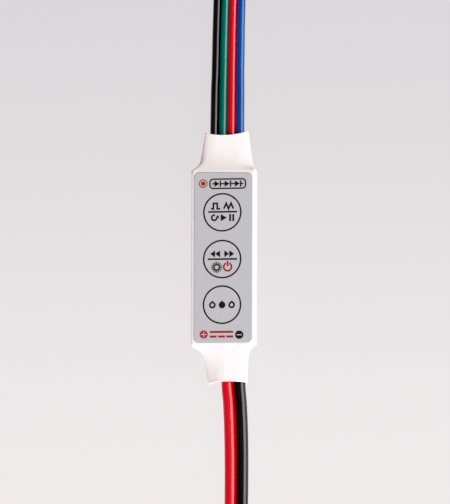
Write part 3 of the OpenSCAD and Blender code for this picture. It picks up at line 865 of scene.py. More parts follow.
@dataclass
class Studio:
    """The photographer's floor, lights and camera."""

    frame_w_px: float = 450
    frame_h_px: float = 504
    body_x_px: float = 224.35
    body_y_px: float = 258.2
    mm_per_px: float = 0.1903
    body_z: float = 2.4
    turn: float = 8.0
    dip: float = 6.5
    roll: float = 0.2
    distance: float = 800.0
    lens: float = 300.0
    sensor: float = 36.0
    clip: Point = (10.0, 10000.0)
    panels: Sequence[Panel] = (
        Panel("soft_box", 57.0, 2.0, 500.0, (430.0, 580.0), 2.97),
        Panel("front_panel", 10.0, -55.0, 1000.0, (1300.0, 1300.0), 2.6, mirrored=False))
    ambient: float = 0.16
    ambient_tint: Triple = (1.0, 0.985, 0.99)
    # The floor's brightness is its own glow: painted light, which also lights the piece from below. Its
    # nearly black base takes no shadows, and the near colour, towards -Y past the turn, paints it warmer and
    # brighter than the far colour.
    floor_painted_glow: float = 0.72
    floor_base: float = 0.02
    floor_roughness: float = 0.9
    floor_z: float = -0.02
    floor_size: float = 3000.0
    floor_far: Triple = (0.89, 0.865, 0.89)
    floor_near_painted_light: Triple = (1.17, 1.085, 1.095)
    floor_turn: float = 55.0
    floor_fade: float = 260.0
    black_point: float = 0.012
    white_point: float = 1.17
    shoulder: Sequence[Point] = ((0.35, 0.43), (0.7, 0.84))

    def aim(self) -> tuple[Matrix, Vector]:
        """Works out how the camera stands.

        Returns:
            Its axes as a rotation, and its place in millimetres.
        """
        turn, dip = math.radians(self.turn), math.radians(self.dip)
        back = Vector((math.sin(turn) * math.cos(dip), -math.sin(dip), math.cos(turn) * math.cos(dip)))
        right = Vector((math.cos(turn), 0, -math.sin(turn)))
        up = back.cross(right)
        across = (self.frame_w_px / 2 - self.body_x_px) * self.mm_per_px
        above = (self.body_y_px - self.frame_h_px / 2) * self.mm_per_px
        target = Vector((0, 0, self.body_z)) + right * across + up * above
        axes = Matrix((right, up, back)).transposed() @ Matrix.Rotation(math.radians(self.roll), 3, "Z")
        return axes, target + back * self.distance

    def camera(self) -> None:
        """Sets the camera at the photograph's angle."""
        axes, place = self.aim()
        lens = bpy.data.cameras.new("camera")
        lens.lens, lens.sensor_width = self.lens, self.sensor
        lens.clip_start, lens.clip_end = (limit * MM for limit in self.clip)
        camera = linked("camera", lens)
        camera.matrix_world = Matrix.Translation(place * MM) @ axes.to_4x4()
        bpy.context.scene.camera = camera

    def grade(self) -> None:
        """Sets the camera's tone curve, with its black point and a soft shoulder."""
        view = bpy.context.scene.view_settings
        view.view_transform, view.use_curve_mapping = "Standard", True
        tone = view.curve_mapping
        tone.black_level, tone.white_level = (self.black_point,) * 3, (self.white_point,) * 3
        *_, combined = tone.curves
        for light_in, light_out in self.shoulder:
            combined.points.new(light_in, light_out)
        tone.update()

    def room(self) -> None:
        """Fills the room with dim light."""
        world = bpy.data.worlds.new("room")
        world.use_nodes = True
        sky = world.node_tree.nodes["Background"]
        sky.inputs["Color"].default_value = (*self.ambient_tint, 1)
        sky.inputs["Strength"].default_value = self.ambient
        bpy.context.scene.world = world

    def floor(self) -> None:
        """Lays the pale floor, which glows by itself as painted light rather than being lit, its glow painted
        a little warmer and brighter just before the piece.
        """
        half, z = self.floor_size / 2, self.floor_z
        mesh = mesh_of("floor", [(-half, -half, z), (half, -half, z), (half, half, z), (-half, half, z)],
                       [(0, 1, 2, 3)])
        shader = Shader("floor")
        across = shader.add("ShaderNodeSeparateXYZ", {"Vector": shader.place}).outputs["Y"]
        fade = self.floor_fade * MM
        glow = shader.add("ShaderNodeValToRGB", {"Fac": shader.between(across, 0.0, 1.0, -fade, fade)})
        ramp = glow.color_ramp
        ramp.interpolation = "EASE"
        for end in ramp.elements:
            end.color = (*((a + b) / 2 for a, b in zip(self.floor_near_painted_light, self.floor_far)), 1)
        for side, colour in ((-1, self.floor_near_painted_light), (1, self.floor_far)):
            ramp.elements.new(0.5 + side * self.floor_turn / self.floor_fade / 2).color = (*colour, 1)
        shader.set(Base_Color=(*(self.floor_base,) * 3, 1), Roughness=self.floor_roughness,
                   Specular_IOR_Level=0.0, Emission_Color=glow.outputs["Color"],
                   Emission_Strength=self.floor_painted_glow)
        mesh.materials.append(shader.material)
        linked("floor", mesh)

    def build(self) -> None:
        """Sets up the whole studio."""
        self.camera()
        self.grade()
        self.room()
        for panel in self.panels:
            panel.hang()
        self.floor()
        log.info("studio ready")


def sweep_tree() -> Tree:
    """Builds the tree that draws a core or a web along its line.

    Returns:
        The tree.
    """
    tree = Tree("drawn_core", {"Width": "Float", "Height": "Float", "Sides": "Int"})
    stored = {"data_type": "FLOAT", "domain": "POINT"}
    rail = tree.step("GeometryNodeMeshToCurve", {"Mesh": tree.given["Geometry"]})
    upright = tree.step("GeometryNodeSetCurveNormal", {"Curve": rail}, mode="Z_UP")
    run = tree.add("GeometryNodeSplineParameter").outputs["Length"]
    marked = tree.step("GeometryNodeStoreNamedAttribute", {
        "Geometry": upright, "Name": "along", "Value": run}, **stored)
    circle = tree.step("GeometryNodeCurvePrimitiveCircle", {
        "Resolution": tree.given["Sides"], "Radius": 0.5})
    turn = tree.add("GeometryNodeSplineParameter").outputs["Factor"]
    around = tree.maths("MULTIPLY", turn, tree.maths("MULTIPLY", tree.given["Width"], math.pi))
    section = tree.step("GeometryNodeStoreNamedAttribute", {
        "Geometry": circle, "Name": "around", "Value": around}, **stored)
    size = tree.vector(X=tree.given["Width"], Y=tree.given["Height"], Z=1.0)
    sized = tree.step("GeometryNodeTransform", {"Geometry": section, "Scale": size})
    swell = tree.add("GeometryNodeInputNamedAttribute", {"Name": "swell"}, data_type="FLOAT")
    tree.close(tree.step("GeometryNodeCurveToMesh", {
        "Curve": marked, "Profile Curve": sized, "Scale": swell.outputs["Attribute"], "Fill Caps": True}))
    return tree


@dataclass
class Lead:
    """A flat lead of bonded cores, from the board to its far end."""

    name: str
    slots: Sequence[Slot]
    nodes: Sequence[str]
    core_d: float
    route: Sequence[Triple]
    pitches: Sequence[float]
    bonded: Point
    step: float = 0.5
    sides: int = 36
    web_w: float = 0.6
    web_h: float = 0.3
    web_taper: float = 3.0
    web_tip: float = 0.05
    ways: list[Track] = field(init=False)

    def __post_init__(self) -> None:
        """Turns the route and the pitches into smooth tracks by distance along Y."""
        self.side = 1 if self.route[-1][1] > 0 else -1
        reaches = [self.side * y for _, y, _ in self.route]
        self.ways = [Track(reaches, [x for x, _, _ in self.route]),
                     Track(reaches, [z for _, _, z in self.route]), Track(reaches, self.pitches)]
        self.start, self.end = reaches[0], reaches[-1]

    def point(self, reach: float, place: float = 0.0) -> Triple:
        """Returns the point at a distance along Y, so many pitches from the middle."""
        across, height, pitch = self.ways
        return across(reach) + place * pitch(reach), self.side * reach, height(reach)

    def line(self, place: float, start: float, end: float) -> list[Triple]:
        """Returns points along one line of the lead, between two distances along Y."""
        count = math.ceil((end - start) / self.step)
        return [self.point(start + (end - start) * k / count, place) for k in range(count + 1)]

    def drawn(self, tree: Tree, points: Sequence[Triple], width: float, height: float, taper: float,
              slot: Slot) -> Mesh:
        """Draws one core or web.

        Args:
            tree: The sweep tree.
            points: The line that it follows.
            width: Width of its section.
            height: Height of its section.
            taper: Length over which its ends thin out, or 0.
            slot: The slot of its finish.

        Returns:
            The mesh.
        """
        last = len(points) - 1
        rail = mesh_of("rail", points, edges=[(i, i + 1) for i in range(last)])
        swell = rail.attributes.new("swell", "FLOAT", "POINT")
        for i in range(last + 1):
            nearest = min(i, last - i) * self.step
            swell.data[i].value = min(1.0, self.web_tip + nearest / taper) if taper else 1.0
        return smoothed(tree.run(rail, {
            "Width": width * MM, "Height": height * MM, "Sides": self.sides, "Material": material_of(slot)}))

    def build(self, tree: Tree) -> Piece:
        """Builds the lead as one piece.

        Args:
            tree: The sweep tree.

        Returns:
            The piece.
        """
        count = len(self.slots)
        places = [k - (count - 1) / 2 for k in range(count)]
        parts = [self.drawn(tree, self.line(place, self.start, self.end), self.core_d, self.core_d, 0, slot)
                 for place, slot in zip(places, self.slots)]
        parts += [self.drawn(tree, self.line(place + 0.5, *self.bonded), self.web_w, self.web_h,
                             self.web_taper, slot) for place, slot in zip(places[:-1], self.slots)]
        return put(joined(self.name, parts), self.name, self.slots[0], *self.nodes)

    def declare(self, piece: Piece, mouth_y: float, far_end: str, with_pieces: Sequence[Piece]) -> None:
        """Works out the lead's path, its point at the mouth and its width, and keeps none of them.

        Args:
            piece: The lead. Not used.
            mouth_y: Distance along Y of the mouth that it leaves.
            far_end: Kind of its far end. Not used.
            with_pieces: The pieces on it. Not used.
        """
        path = [tuple(c * MM for c in p) for p in self.line(0, self.start, self.end)]
        exit_point = tuple(c * MM for c in self.point(mouth_y))
        width = (len(self.slots) - 1) * self.ways[2](sum(self.bonded) / 2) + self.core_d


def output_lead() -> Lead:
    """Describes the ribbon of four cores that goes to the light strip.

    Returns:
        The lead.
    """
    return Lead(
        "output_ribbon", (Slot.BLACK, Slot.GREEN, Slot.RED, Slot.BLUE),
        ("output_wire_black", "output_wire_green", "output_wire_red", "output_wire_blue"), 1.54,
        [(0.46, 15.8, 2.25), (0.46, 19.15, 2.25), (0.46, 24.15, 2.25), (0.46, 28, 2.1), (0.42, 32, 1.6),
         (0.4, 36, 1.1), (0.43, 41, 0.8), (0.6, 50, 0.77), (1.2, 66, 0.77), (1.5, 88, 0.77),
         (1.0, 110, 0.77), (0.85, 116, 0.95), (0.8, 122.5, 1.27), (0.8, 126, 1.27)],
        [1.67, 1.67, 1.68, 1.66, 1.65, 1.6, 1.59] + [1.57] * 4 + [2.05, 2.54, 2.54], (17.0, 112))


def power_lead() -> Lead:
    """Describes the pair of cores that brings the power.

    Returns:
        The lead.
    """
    return Lead(
        "power_pair", (Slot.RED, Slot.BLACK), ("power_wire_red", "power_wire_black"), 2.24,
        [(1.86, -15.8, 2.55), (1.86, -19.05, 2.55), (1.86, -23.85, 2.55), (2.15, -28, 2.4),
         (2.28, -32, 2.0), (2.33, -37, 1.5), (2.31, -43, 1.2), (2.15, -55, 1.12), (1.6, -72, 1.12),
         (1.2, -90, 1.12), (1.4, -108, 1.12), (1.6, -116, 1.12), (1.6, -124, 1.12)],
        [2.38, 2.38, 2.36, 2.33, 2.35, 2.33, 2.3] + [2.26] * 4 + [3.63, 5.0], (17.0, 110), web_w=0.8,
        web_h=0.55)


@dataclass
class TinnedTails:
    """The stripped ends of the power pair: twisted strands, drawn together by solder."""

    strands: int = 7
    strand_d: float = 0.42
    strand_sides: int = 12
    core_sides: int = 20
    lay: float = 9.0
    steps: int = 40

    def tree(self) -> Tree:
        """Builds the tree that twists strands round each point, along -Y.

        Returns:
            The tree.
        """
        tree = Tree("twisted_strands", {
            "Strands": "Int", "Strand diameter": "Float", "Bundle radius": "Float", "Turns": "Float",
            "Length": "Float", "Steps": "Int"})
        given = tree.given
        coil = tree.step("GeometryNodeCurveSpiral", {
            "Resolution": given["Steps"], "Rotations": given["Turns"], "Start Radius": given["Bundle radius"],
            "End Radius": given["Bundle radius"], "Height": given["Length"]})
        lines = tree.step("GeometryNodeRealizeInstances", {"Geometry": tree.wheel(coil, given["Strands"])})
        core_line = tree.step("GeometryNodeCurvePrimitiveLine", {"End": tree.vector(Z=given["Length"])})
        both = tree.add("GeometryNodeJoinGeometry")
        for line, sides, radius in (
                (lines, self.strand_sides, tree.maths("MULTIPLY", given["Strand diameter"], 0.5)),
                (core_line, self.core_sides, given["Bundle radius"])):
            section = tree.step("GeometryNodeCurvePrimitiveCircle", {"Resolution": sides, "Radius": radius})
            tree.give(both.inputs[0], tree.step("GeometryNodeCurveToMesh", {
                "Curve": line, "Profile Curve": section, "Fill Caps": True}))
        flat = tree.step("GeometryNodeTransform", {
            "Geometry": both.outputs[0], "Rotation": (math.radians(90), 0.0, 0.0)})
        tree.close(tree.step("GeometryNodeInstanceOnPoints", {"Points": given["Geometry"], "Instance": flat}))
        return tree

    def build(self, lead: Lead) -> Piece:
        """Builds both tails as one piece.

        Args:
            lead: The power lead.

        Returns:
            The piece.
        """
        low, high = box_mm("power_tinned_ends")
        diameter = high.z - low.z
        length = high.y - low.y
        starts = [(lead.point(lead.end, place)[0], high.y, (low.z + high.z) / 2) for place in (-0.5, 0.5)]
        mesh = self.tree().run(mesh_of("tails", starts), {
            "Strands": self.strands, "Strand diameter": self.strand_d * MM,
            "Bundle radius": (diameter - self.strand_d) / 2 * MM, "Turns": length / self.lay,
            "Length": length * MM, "Steps": self.steps, "Material": material_of(Slot.SOLDER)})
        return put(smoothed(mesh), "tinned_tails", Slot.SOLDER, "power_tinned_ends")


@dataclass
class OutputConnector:
    """The four-way socket at the end of the ribbon, with its contacts."""

    ways: int = 4
    pitch: float = 2.54
    edge: float = 0.16
    sharp: float = 35.0
    over: float = 1.0
    cavity: float = 1.9
    front: float = 1.2
    mouth: float = 1.0
    mouth_flare: float = 0.3
    window: Point = (1.3, 2.2)
    window_y: float = 6.2
    groove: Point = (0.22, 0.12)
    contact_w: float = 1.7
    contact_l: float = 7.0
    contact_edge: float = 0.08
    contact_wall: float = 0.22
    lance: Triple = (0.8, 1.8, 0.25)
    crimp_neck: Point = (0.9, 0.3)
    crimp_neck_edge: float = 0.05
    crimp_d: float = 1.2
    crimp_share: float = 0.65
    crimp_sides: int = 24
    crimp_rings: int = 9
    crimp_pinch: float = 0.12
    crimp_seam: float = 0.22
    crimp_seam_power: int = 12

    def __post_init__(self) -> None:
        """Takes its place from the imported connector."""
        self.low, self.high = box_mm("output_connector")
        self.mid = (self.low + self.high) / 2
        self.xs = [self.mid.x + (k - (self.ways - 1) / 2) * self.pitch for k in range(self.ways)]

    def block(self, x: float, w: float, ys: Point, zs: Point) -> Mesh:
        """Returns a plain cutter, centred on x."""
        return solid_box("cutter", (x - w / 2, ys[0], zs[0]), (x + w / 2, ys[1], zs[1]))

    def flare(self, x: float) -> Mesh:
        """Returns the cutter of one socket's lead-in.

        Args:
            x: Middle of the socket.

        Returns:
            The cutter.
        """
        narrow, wide, y, z = self.mouth / 2, self.mouth / 2 + self.mouth_flare, self.high.y, self.mid.z
        return lofted("flare", [
            [(x + sx * reach, end, z + sz * reach) for sx, sz in ((-1, -1), (1, -1), (1, 1), (-1, 1))]
            for reach, end in ((narrow, y - self.mouth_flare), (wide, y), (wide, y + self.over))])

    def housing(self) -> Piece:
        """Builds the moulded housing.

        Returns:
            The piece.
        """
        low, mid, high, over = self.low, self.mid, self.high, self.over
        shell = solid_box("housing", low, high, self.edge)
        half, lip = self.cavity / 2, self.mouth / 2
        window_w, window_l = self.window
        window_y = low.y + self.window_y
        groove_w, groove_t = self.groove
        back, front = low.y - over, high.y + over
        seams = [(a + b) / 2 for a, b in zip(self.xs, self.xs[1:])]
        cutters = {
            "cavities": [self.block(x, self.cavity, (back, high.y - self.front), (mid.z - half, mid.z + half))
                         for x in self.xs],
            "mouths": [self.block(x, self.mouth, (high.y - self.front - over, front),
                                  (mid.z - lip, mid.z + lip)) for x in self.xs],
            "flares": [self.flare(x) for x in self.xs],
            "windows": [self.block(x, window_w, (window_y, window_y + window_l), (mid.z, high.z + over))
                        for x in self.xs],
            "grooves": [self.block(x, groove_w, (back, front), zs) for x in seams
                        for zs in ((high.z - groove_t, high.z + over), (low.z - over, low.z + groove_t))]}
        mesh = cut_from(shell, *(joined(name, blocks) for name, blocks in cutters.items()))
        return put(smoothed(painted(mesh, Slot.CONNECTOR), self.sharp), "ribbon_connector", Slot.CONNECTOR,
                   "output_connector")

    def contact(self) -> Mesh:
        """Makes the first contact, which the row repeats: a folded box, its lance, a neck and a crimp.

        Returns:
            The mesh.
        """
        low, high = box_mm("connector_contacts")
        x, z = self.xs[0], self.mid.z
        half, back = self.contact_w / 2, high.y - self.contact_l
        shell = solid_box("contact", (x - half, back, z - half), (x + half, high.y, z + half),
                          self.contact_edge)
        bore = half - self.contact_wall
        mesh = cut_from(shell, self.block(x, 2 * bore, (back - self.over, high.y + self.over),
                                          (z - bore, z + bore)))
        lance_w, lance_l, lance_h = self.lance
        lance_y = self.low.y + self.window_y + (self.window[1] - lance_l) / 2
        lance_end = lance_y + lance_l
        lance = lofted("lance", [[(x + side * lance_w / 2, y, h) for y, h in (
            (lance_y, z + bore), (lance_end, z + bore), (lance_end, z + half),
            (lance_y, z + half + lance_h))] for side in (1, -1)])
        neck_w, neck_t = self.crimp_neck
        neck = solid_box("neck", (x - neck_w / 2, low.y, z - half),
                         (x + neck_w / 2, back + self.contact_wall, z - half + neck_t), self.crimp_neck_edge)
        crimp = self.crimp(x, low.y, (back - low.y) * self.crimp_share, z - half + self.crimp_d / 2)
        return joined("contact", [mesh, lance, neck, crimp])

    def crimp(self, x: float, y: float, length: float, z: float) -> Mesh:
        """Makes the barrel that is rolled round the strands, pinched along its seam.

        Args:
            x: Middle of the barrel across.
            y: Its end at the wire.
            length: Its length.
            z: Height of its middle.

        Returns:
            The mesh.
        """
        rings = []
        for k in range(self.crimp_rings):
            share = k / (self.crimp_rings - 1)
            r = self.crimp_d / 2 * (1 - self.crimp_pinch * math.sin(math.pi * share) ** 2)
            ring = []
            for i in range(self.crimp_sides):
                turn = math.tau * i / self.crimp_sides
                seam = 1 - self.crimp_seam * max(0.0, math.sin(turn)) ** self.crimp_seam_power
                ring.append((x + r * math.cos(turn), y + length * share, z + r * seam * math.sin(turn)))
            rings.append(ring)
        return lofted("crimp", rings)

    def contacts(self) -> Piece:
        """Repeats the contact along the row.

        Returns:
            The piece.
        """
        tree = Tree("contact_row", {"Count": "Int", "Pitch": "Float"})
        row = tree.step("GeometryNodeMeshLine", {
            "Count": tree.given["Count"], "Offset": tree.vector(X=tree.given["Pitch"])})
        tree.close(tree.step("GeometryNodeInstanceOnPoints", {
            "Points": row, "Instance": tree.given["Geometry"]}))
        mesh = tree.run(self.contact(), {
            "Count": self.ways, "Pitch": self.pitch * MM, "Material": material_of(Slot.GOLD)})
        return put(smoothed(mesh, self.sharp), "contact_row", Slot.GOLD, "connector_contacts")


@dataclass(frozen=True)
class Draw:
    """How a size changes from the shoulder of a neck to its mouth.

    The taper is the part of the change that goes evenly. The rest goes within the fall, a distance, and
    the power says how gently that starts.
    """

    taper: float
    fall: float
    power: float

    def settled(self, d: float) -> float:
        """Returns the share of the fall that is done at a distance past the shoulder."""
        return 1 - math.exp(-((d / self.fall) ** self.power))

    def at(self, a: float, b: float, d: float, length: float) -> float:
        """Returns a size, a at the shoulder and b at the mouth, at a distance along the neck's length."""
        settled = self.settled(d) / self.settled(length)
        return a - (a - b - self.taper) * settled - self.taper * d / length


@dataclass(frozen=True)
class Neck:
    """One drawn-in end of the sleeve: its flanks, its cut mouth, a crease at the right and a sag at the left.

    Each flank has its reach at the mouth and its draw. The foot is the last bit of the body, where the film
    falls already.
    """

    side: int
    left: tuple[float, Draw]
    right: tuple[float, Draw]
    mouth_h: float
    mouth_z: float
    slant: float
    lean: float
    wave: float
    drop: Draw
    crease: float = 0.0
    sag: float = 0.0
    foot: float = 0.0


OUTPUT_NECK = Neck(
    side=1, left=(3.74, Draw(1.27, 0.6, 1.2)), right=(4.57, Draw(0.95, 0.85, 1.8)), mouth_h=2.46,
    mouth_z=2.37, slant=0.0, lean=0.1, wave=0.62, drop=Draw(-0.3, 2.4, 1.15), crease=2.0, foot=0.42)
POWER_NECK = Neck(
    side=-1, left=(3.15, Draw(1.0, 1.0, 1.25)), right=(4.55, Draw(0.0, 0.75, 0.8)), mouth_h=2.96,
    mouth_z=2.56, slant=-0.17, lean=0.14, wave=0.3, drop=Draw(0.3, 1.2, 1.3), sag=0.45)


@dataclass
class Sleeve:
    """The heat-shrunk sleeve: one thin skin with a neck and a cut mouth at each end."""

    wall: float = 0.3
    shoulder_y: float = 16.7
    edge_rs: Point = (0.35, 0.65)
    top_spread: Point = (0.17, 2.0)
    edge_power: float = 3.0
    crease_start: float = 0.4
    crease_blend: float = 0.4
    mouth_round_share: float = 0.38
    ovals: Point = (2.7, 4.8)
    oval_l: float = 2.2
    flare: Point = (0.5, 0.1)
    sag_power: float = 1.5
    arc_steps: int = 10
    top_steps: int = 44
    side_steps: int = 6
    neck_rings: int = 46
    neck_crowding: float = 1.35
    body_rings: int = 30
    lip_steps: int = 4
    lip_share: float = 0.4
    ripple: float = 0.035
    ripple_fade: float = 1.5
    ripple_waves: Sequence[tuple[float, float, float, float]] = ((1.0, 0.55, 0.3, 7.0), (0.5, 1.4, 0.45, 3.0))
    knife: Triple = (0.4, 0.5, 0.001)
    sharp: float = 45.0

    def __post_init__(self) -> None:
        """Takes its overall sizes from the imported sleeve."""
        low, high = box_mm("shrink_sleeve")
        self.body_w, self.body_h = high.x - low.x, high.z
        self.lengths = {neck.side: abs(end) - self.shoulder_y - abs(neck.slant + neck.lean)
                        for neck, end in ((OUTPUT_NECK, high.y), (POWER_NECK, low.y))}

    def section(self, w: float, h: float, right: float, left: float) -> Outline:
        """Returns a rounded rectangle, from the middle of its lower right corner.

        Args:
            w: Half its width.
            h: Half its height.
            right: Radius of its corners at the right.
            left: Radius of its corners at the left.

        Returns:
            The points.
        """
        corners = [(w - right, right - h, -90, right), (w - right, h - right, 0, right),
                   (left - w, h - left, 90, left), (left - w, left - h, 180, left)]
        flats = [self.side_steps, self.top_steps] * 2
        points = []
        for k, (cx, cz, start, r) in enumerate(corners):
            arc = [math.radians(start + 90 * i / self.arc_steps) for i in range(self.arc_steps + 1)]
            points += [(cx + r * math.cos(a), cz + r * math.sin(a)) for a in arc]
            ax, az = points[-1]
            nx, nz, turn, r = corners[(k + 1) % 4]
            bx, bz = nx + r * math.cos(math.radians(turn)), nz + r * math.sin(math.radians(turn))
            points += [(ax + (bx - ax) * i / flats[k], az + (bz - az) * i / flats[k])
                       for i in range(1, flats[k])]
        return points

    def ripples(self, x: float, y: float, d: float) -> float:
        """Returns how far the film stands out at a point, in the soft waves of a shrunk film.

        Args:
            x: Place across.
            y: Place along.
            d: Distance past the shoulder.

        Returns:
            The height of the wave.
        """
        fade = min(1.0, max(0.0, d / self.ripple_fade))
        wave = sum(height * noise.noise(Vector((x * across, y * along, seed)))
                   for height, across, along, seed in self.ripple_waves)
        return self.ripple * fade * wave

    def crease_share(self, u: float) -> float:
        """Gives the share of the crease that a place across the sleeve has.

        Args:
            u: Place across the sleeve, -1 at the left and 1 at the right.

        Returns:
            0 up to the start of the crease, then a soft bend and a straight rise to 1 at the right edge.
        """
        share = max(0.0, (u - self.crease_start) / (1 - self.crease_start))
        if share < self.crease_blend:
            share = share * share / (2 * self.crease_blend)
        else:
            share -= self.crease_blend / 2
        return share / (1 - self.crease_blend / 2)

    def rounded(self, u: float, v: float, share: float) -> Point:
        """Moves a point of a section towards an oval.

        Args:
            u: Its place across, as a share of the half width.
            v: Its place in height, as a share of the half height.
            share: How oval the section is, from 0 to 1.

        Returns:
            The moved place.
        """
        oval = self.ovals[u > 0]
        size = (abs(u) ** oval + abs(v) ** oval) ** (1 / oval)
        grow = 1 + share * (1 / size - 1)
        return u * grow, v * grow

    def ring(self, neck: Neck, inset: float, d: float, lip: float = 0.0) -> list[Triple]:
        """Returns one ring of the skin.

        Args:
            neck: The neck that it belongs to.
            inset: Depth below the outer skin.
            d: Distance past the shoulder.
            lip: Distance by which the ring stands out of the mouth.

        Returns:
            The points.
        """
        length = self.lengths[neck.side]
        flare_l, flare = self.flare
        right, left = (draw.at(self.body_w / 2, reach, d, length) for reach, draw in (neck.right, neck.left))
        out = flare * max(0.0, 1 - (length - d) / flare_l) ** 2 - inset
        w, mid_x = (right + left) / 2 + out, (right - left) / 2
        radii = [neck.drop.at(r, self.mouth_round_share * neck.mouth_h, d, length) - inset
                 for r in self.edge_rs]
        along = d - inset * (1 - d / length) + lip
        spread, spread_l = self.top_spread
        spread *= max(0.0, 1 - d / spread_l) ** 2
        mid_z = neck.drop.at(self.body_h / 2, neck.mouth_z, d, length)
        points = []
        for x, z in self.section(w, self.body_h / 2 - inset, *radii):
            u, v = self.rounded(x / w, z / (self.body_h / 2 - inset), 1 - math.exp(-((d / self.oval_l) ** 2)))
            crease = self.crease_share(u)
            drop = Draw(neck.drop.taper, neck.drop.fall - neck.crease * crease, neck.drop.power)
            fallen = d + neck.foot * (1 - crease) * (1 - d / length) * (v + 1) / 2
            h = drop.at(self.body_h / 2, neck.mouth_h / 2, fallen, length) + out
            cut = (neck.lean * u - neck.wave * (1 - u * u)) * (d / length) ** self.edge_power
            y = neck.side * (self.shoulder_y + along + neck.slant * u + cut)
            swell = 1 + self.ripples(mid_x + u * w, y, d) / math.hypot(u * w, v * h)
            sag = 1 - neck.sag * max(0.0, -u) ** self.sag_power * (1 - (1 - d / length) ** 2)
            half = w * swell + spread * (v + 1) / 2
            points.append((mid_x + u * half, y, (mid_z + v * h * swell) * sag))
        return points

    def skin(self, inset: float, spare: float) -> list[list[Triple]]:
        """Returns the rings of one skin in order along +Y.

        Args:
            inset: Depth below the outer skin.
            spare: Distance before the mouths at which it ends.

        Returns:
            The rings.
        """
        shares = [(k / self.neck_rings) ** self.neck_crowding for k in range(self.neck_rings + 1)]
        power, output = ([self.ring(neck, inset, s * (self.lengths[neck.side] - spare)) for s in shares]
                         for neck in (POWER_NECK, OUTPUT_NECK))
        body = []
        for k in range(1, self.body_rings):
            t = k / (self.body_rings - 1)
            body.append([(a[0], a[1] + (b[1] - OUTPUT_NECK.foot - a[1]) * t, a[2])
                         for a, b in zip(power[0], output[0])])
        return power[::-1] + body + output

    def lips(self, neck: Neck, spare: float) -> list[list[Triple]]:
        """Returns the rings of a rounded lip, from the outer skin to the inner one.

        Args:
            neck: The neck that it belongs to.
            spare: Distance by which it stands out of the skins' last rings.

        Returns:
            The rings.
        """
        turns = [math.pi * k / (self.lip_steps + 1) for k in range(1, self.lip_steps + 1)]
        return [self.ring(neck, self.wall / 2 * (1 - math.cos(a)), self.lengths[neck.side] - spare,
                          spare * math.sin(a)) for a in turns]

    def build(self, keys: Sequence["Key"]) -> Piece:
        """Builds the sleeve with a hole under each key.

        Args:
            keys: The keys.

        Returns:
            The piece.
        """
        spare = self.wall * self.lip_share
        rings = self.skin(0, spare) + self.lips(OUTPUT_NECK, spare)
        rings += self.skin(self.wall, spare)[::-1] + self.lips(POWER_NECK, spare)[::-1]
        mesh = lofted("sleeve", rings, closed=True)
        shape = bmesh.new()
        shape.from_mesh(mesh)
        bmesh.ops.recalc_face_normals(shape, faces=shape.faces)
        shape.to_mesh(mesh)
        shape.free()
        holes = Film()
        for key in keys:
            holes.disc(key.x, key.y, key.r + KEY_GAP)
        under, over, edge = self.knife
        knife = holes.mesh("holes", self.body_h - self.wall - under, self.body_h + over, edge)
        mesh = painted(cut_from(mesh, knife), Slot.SLEEVE)
        return put(smoothed(mesh, self.sharp), "sleeve_skin", Slot.SLEEVE, "shrink_sleeve")


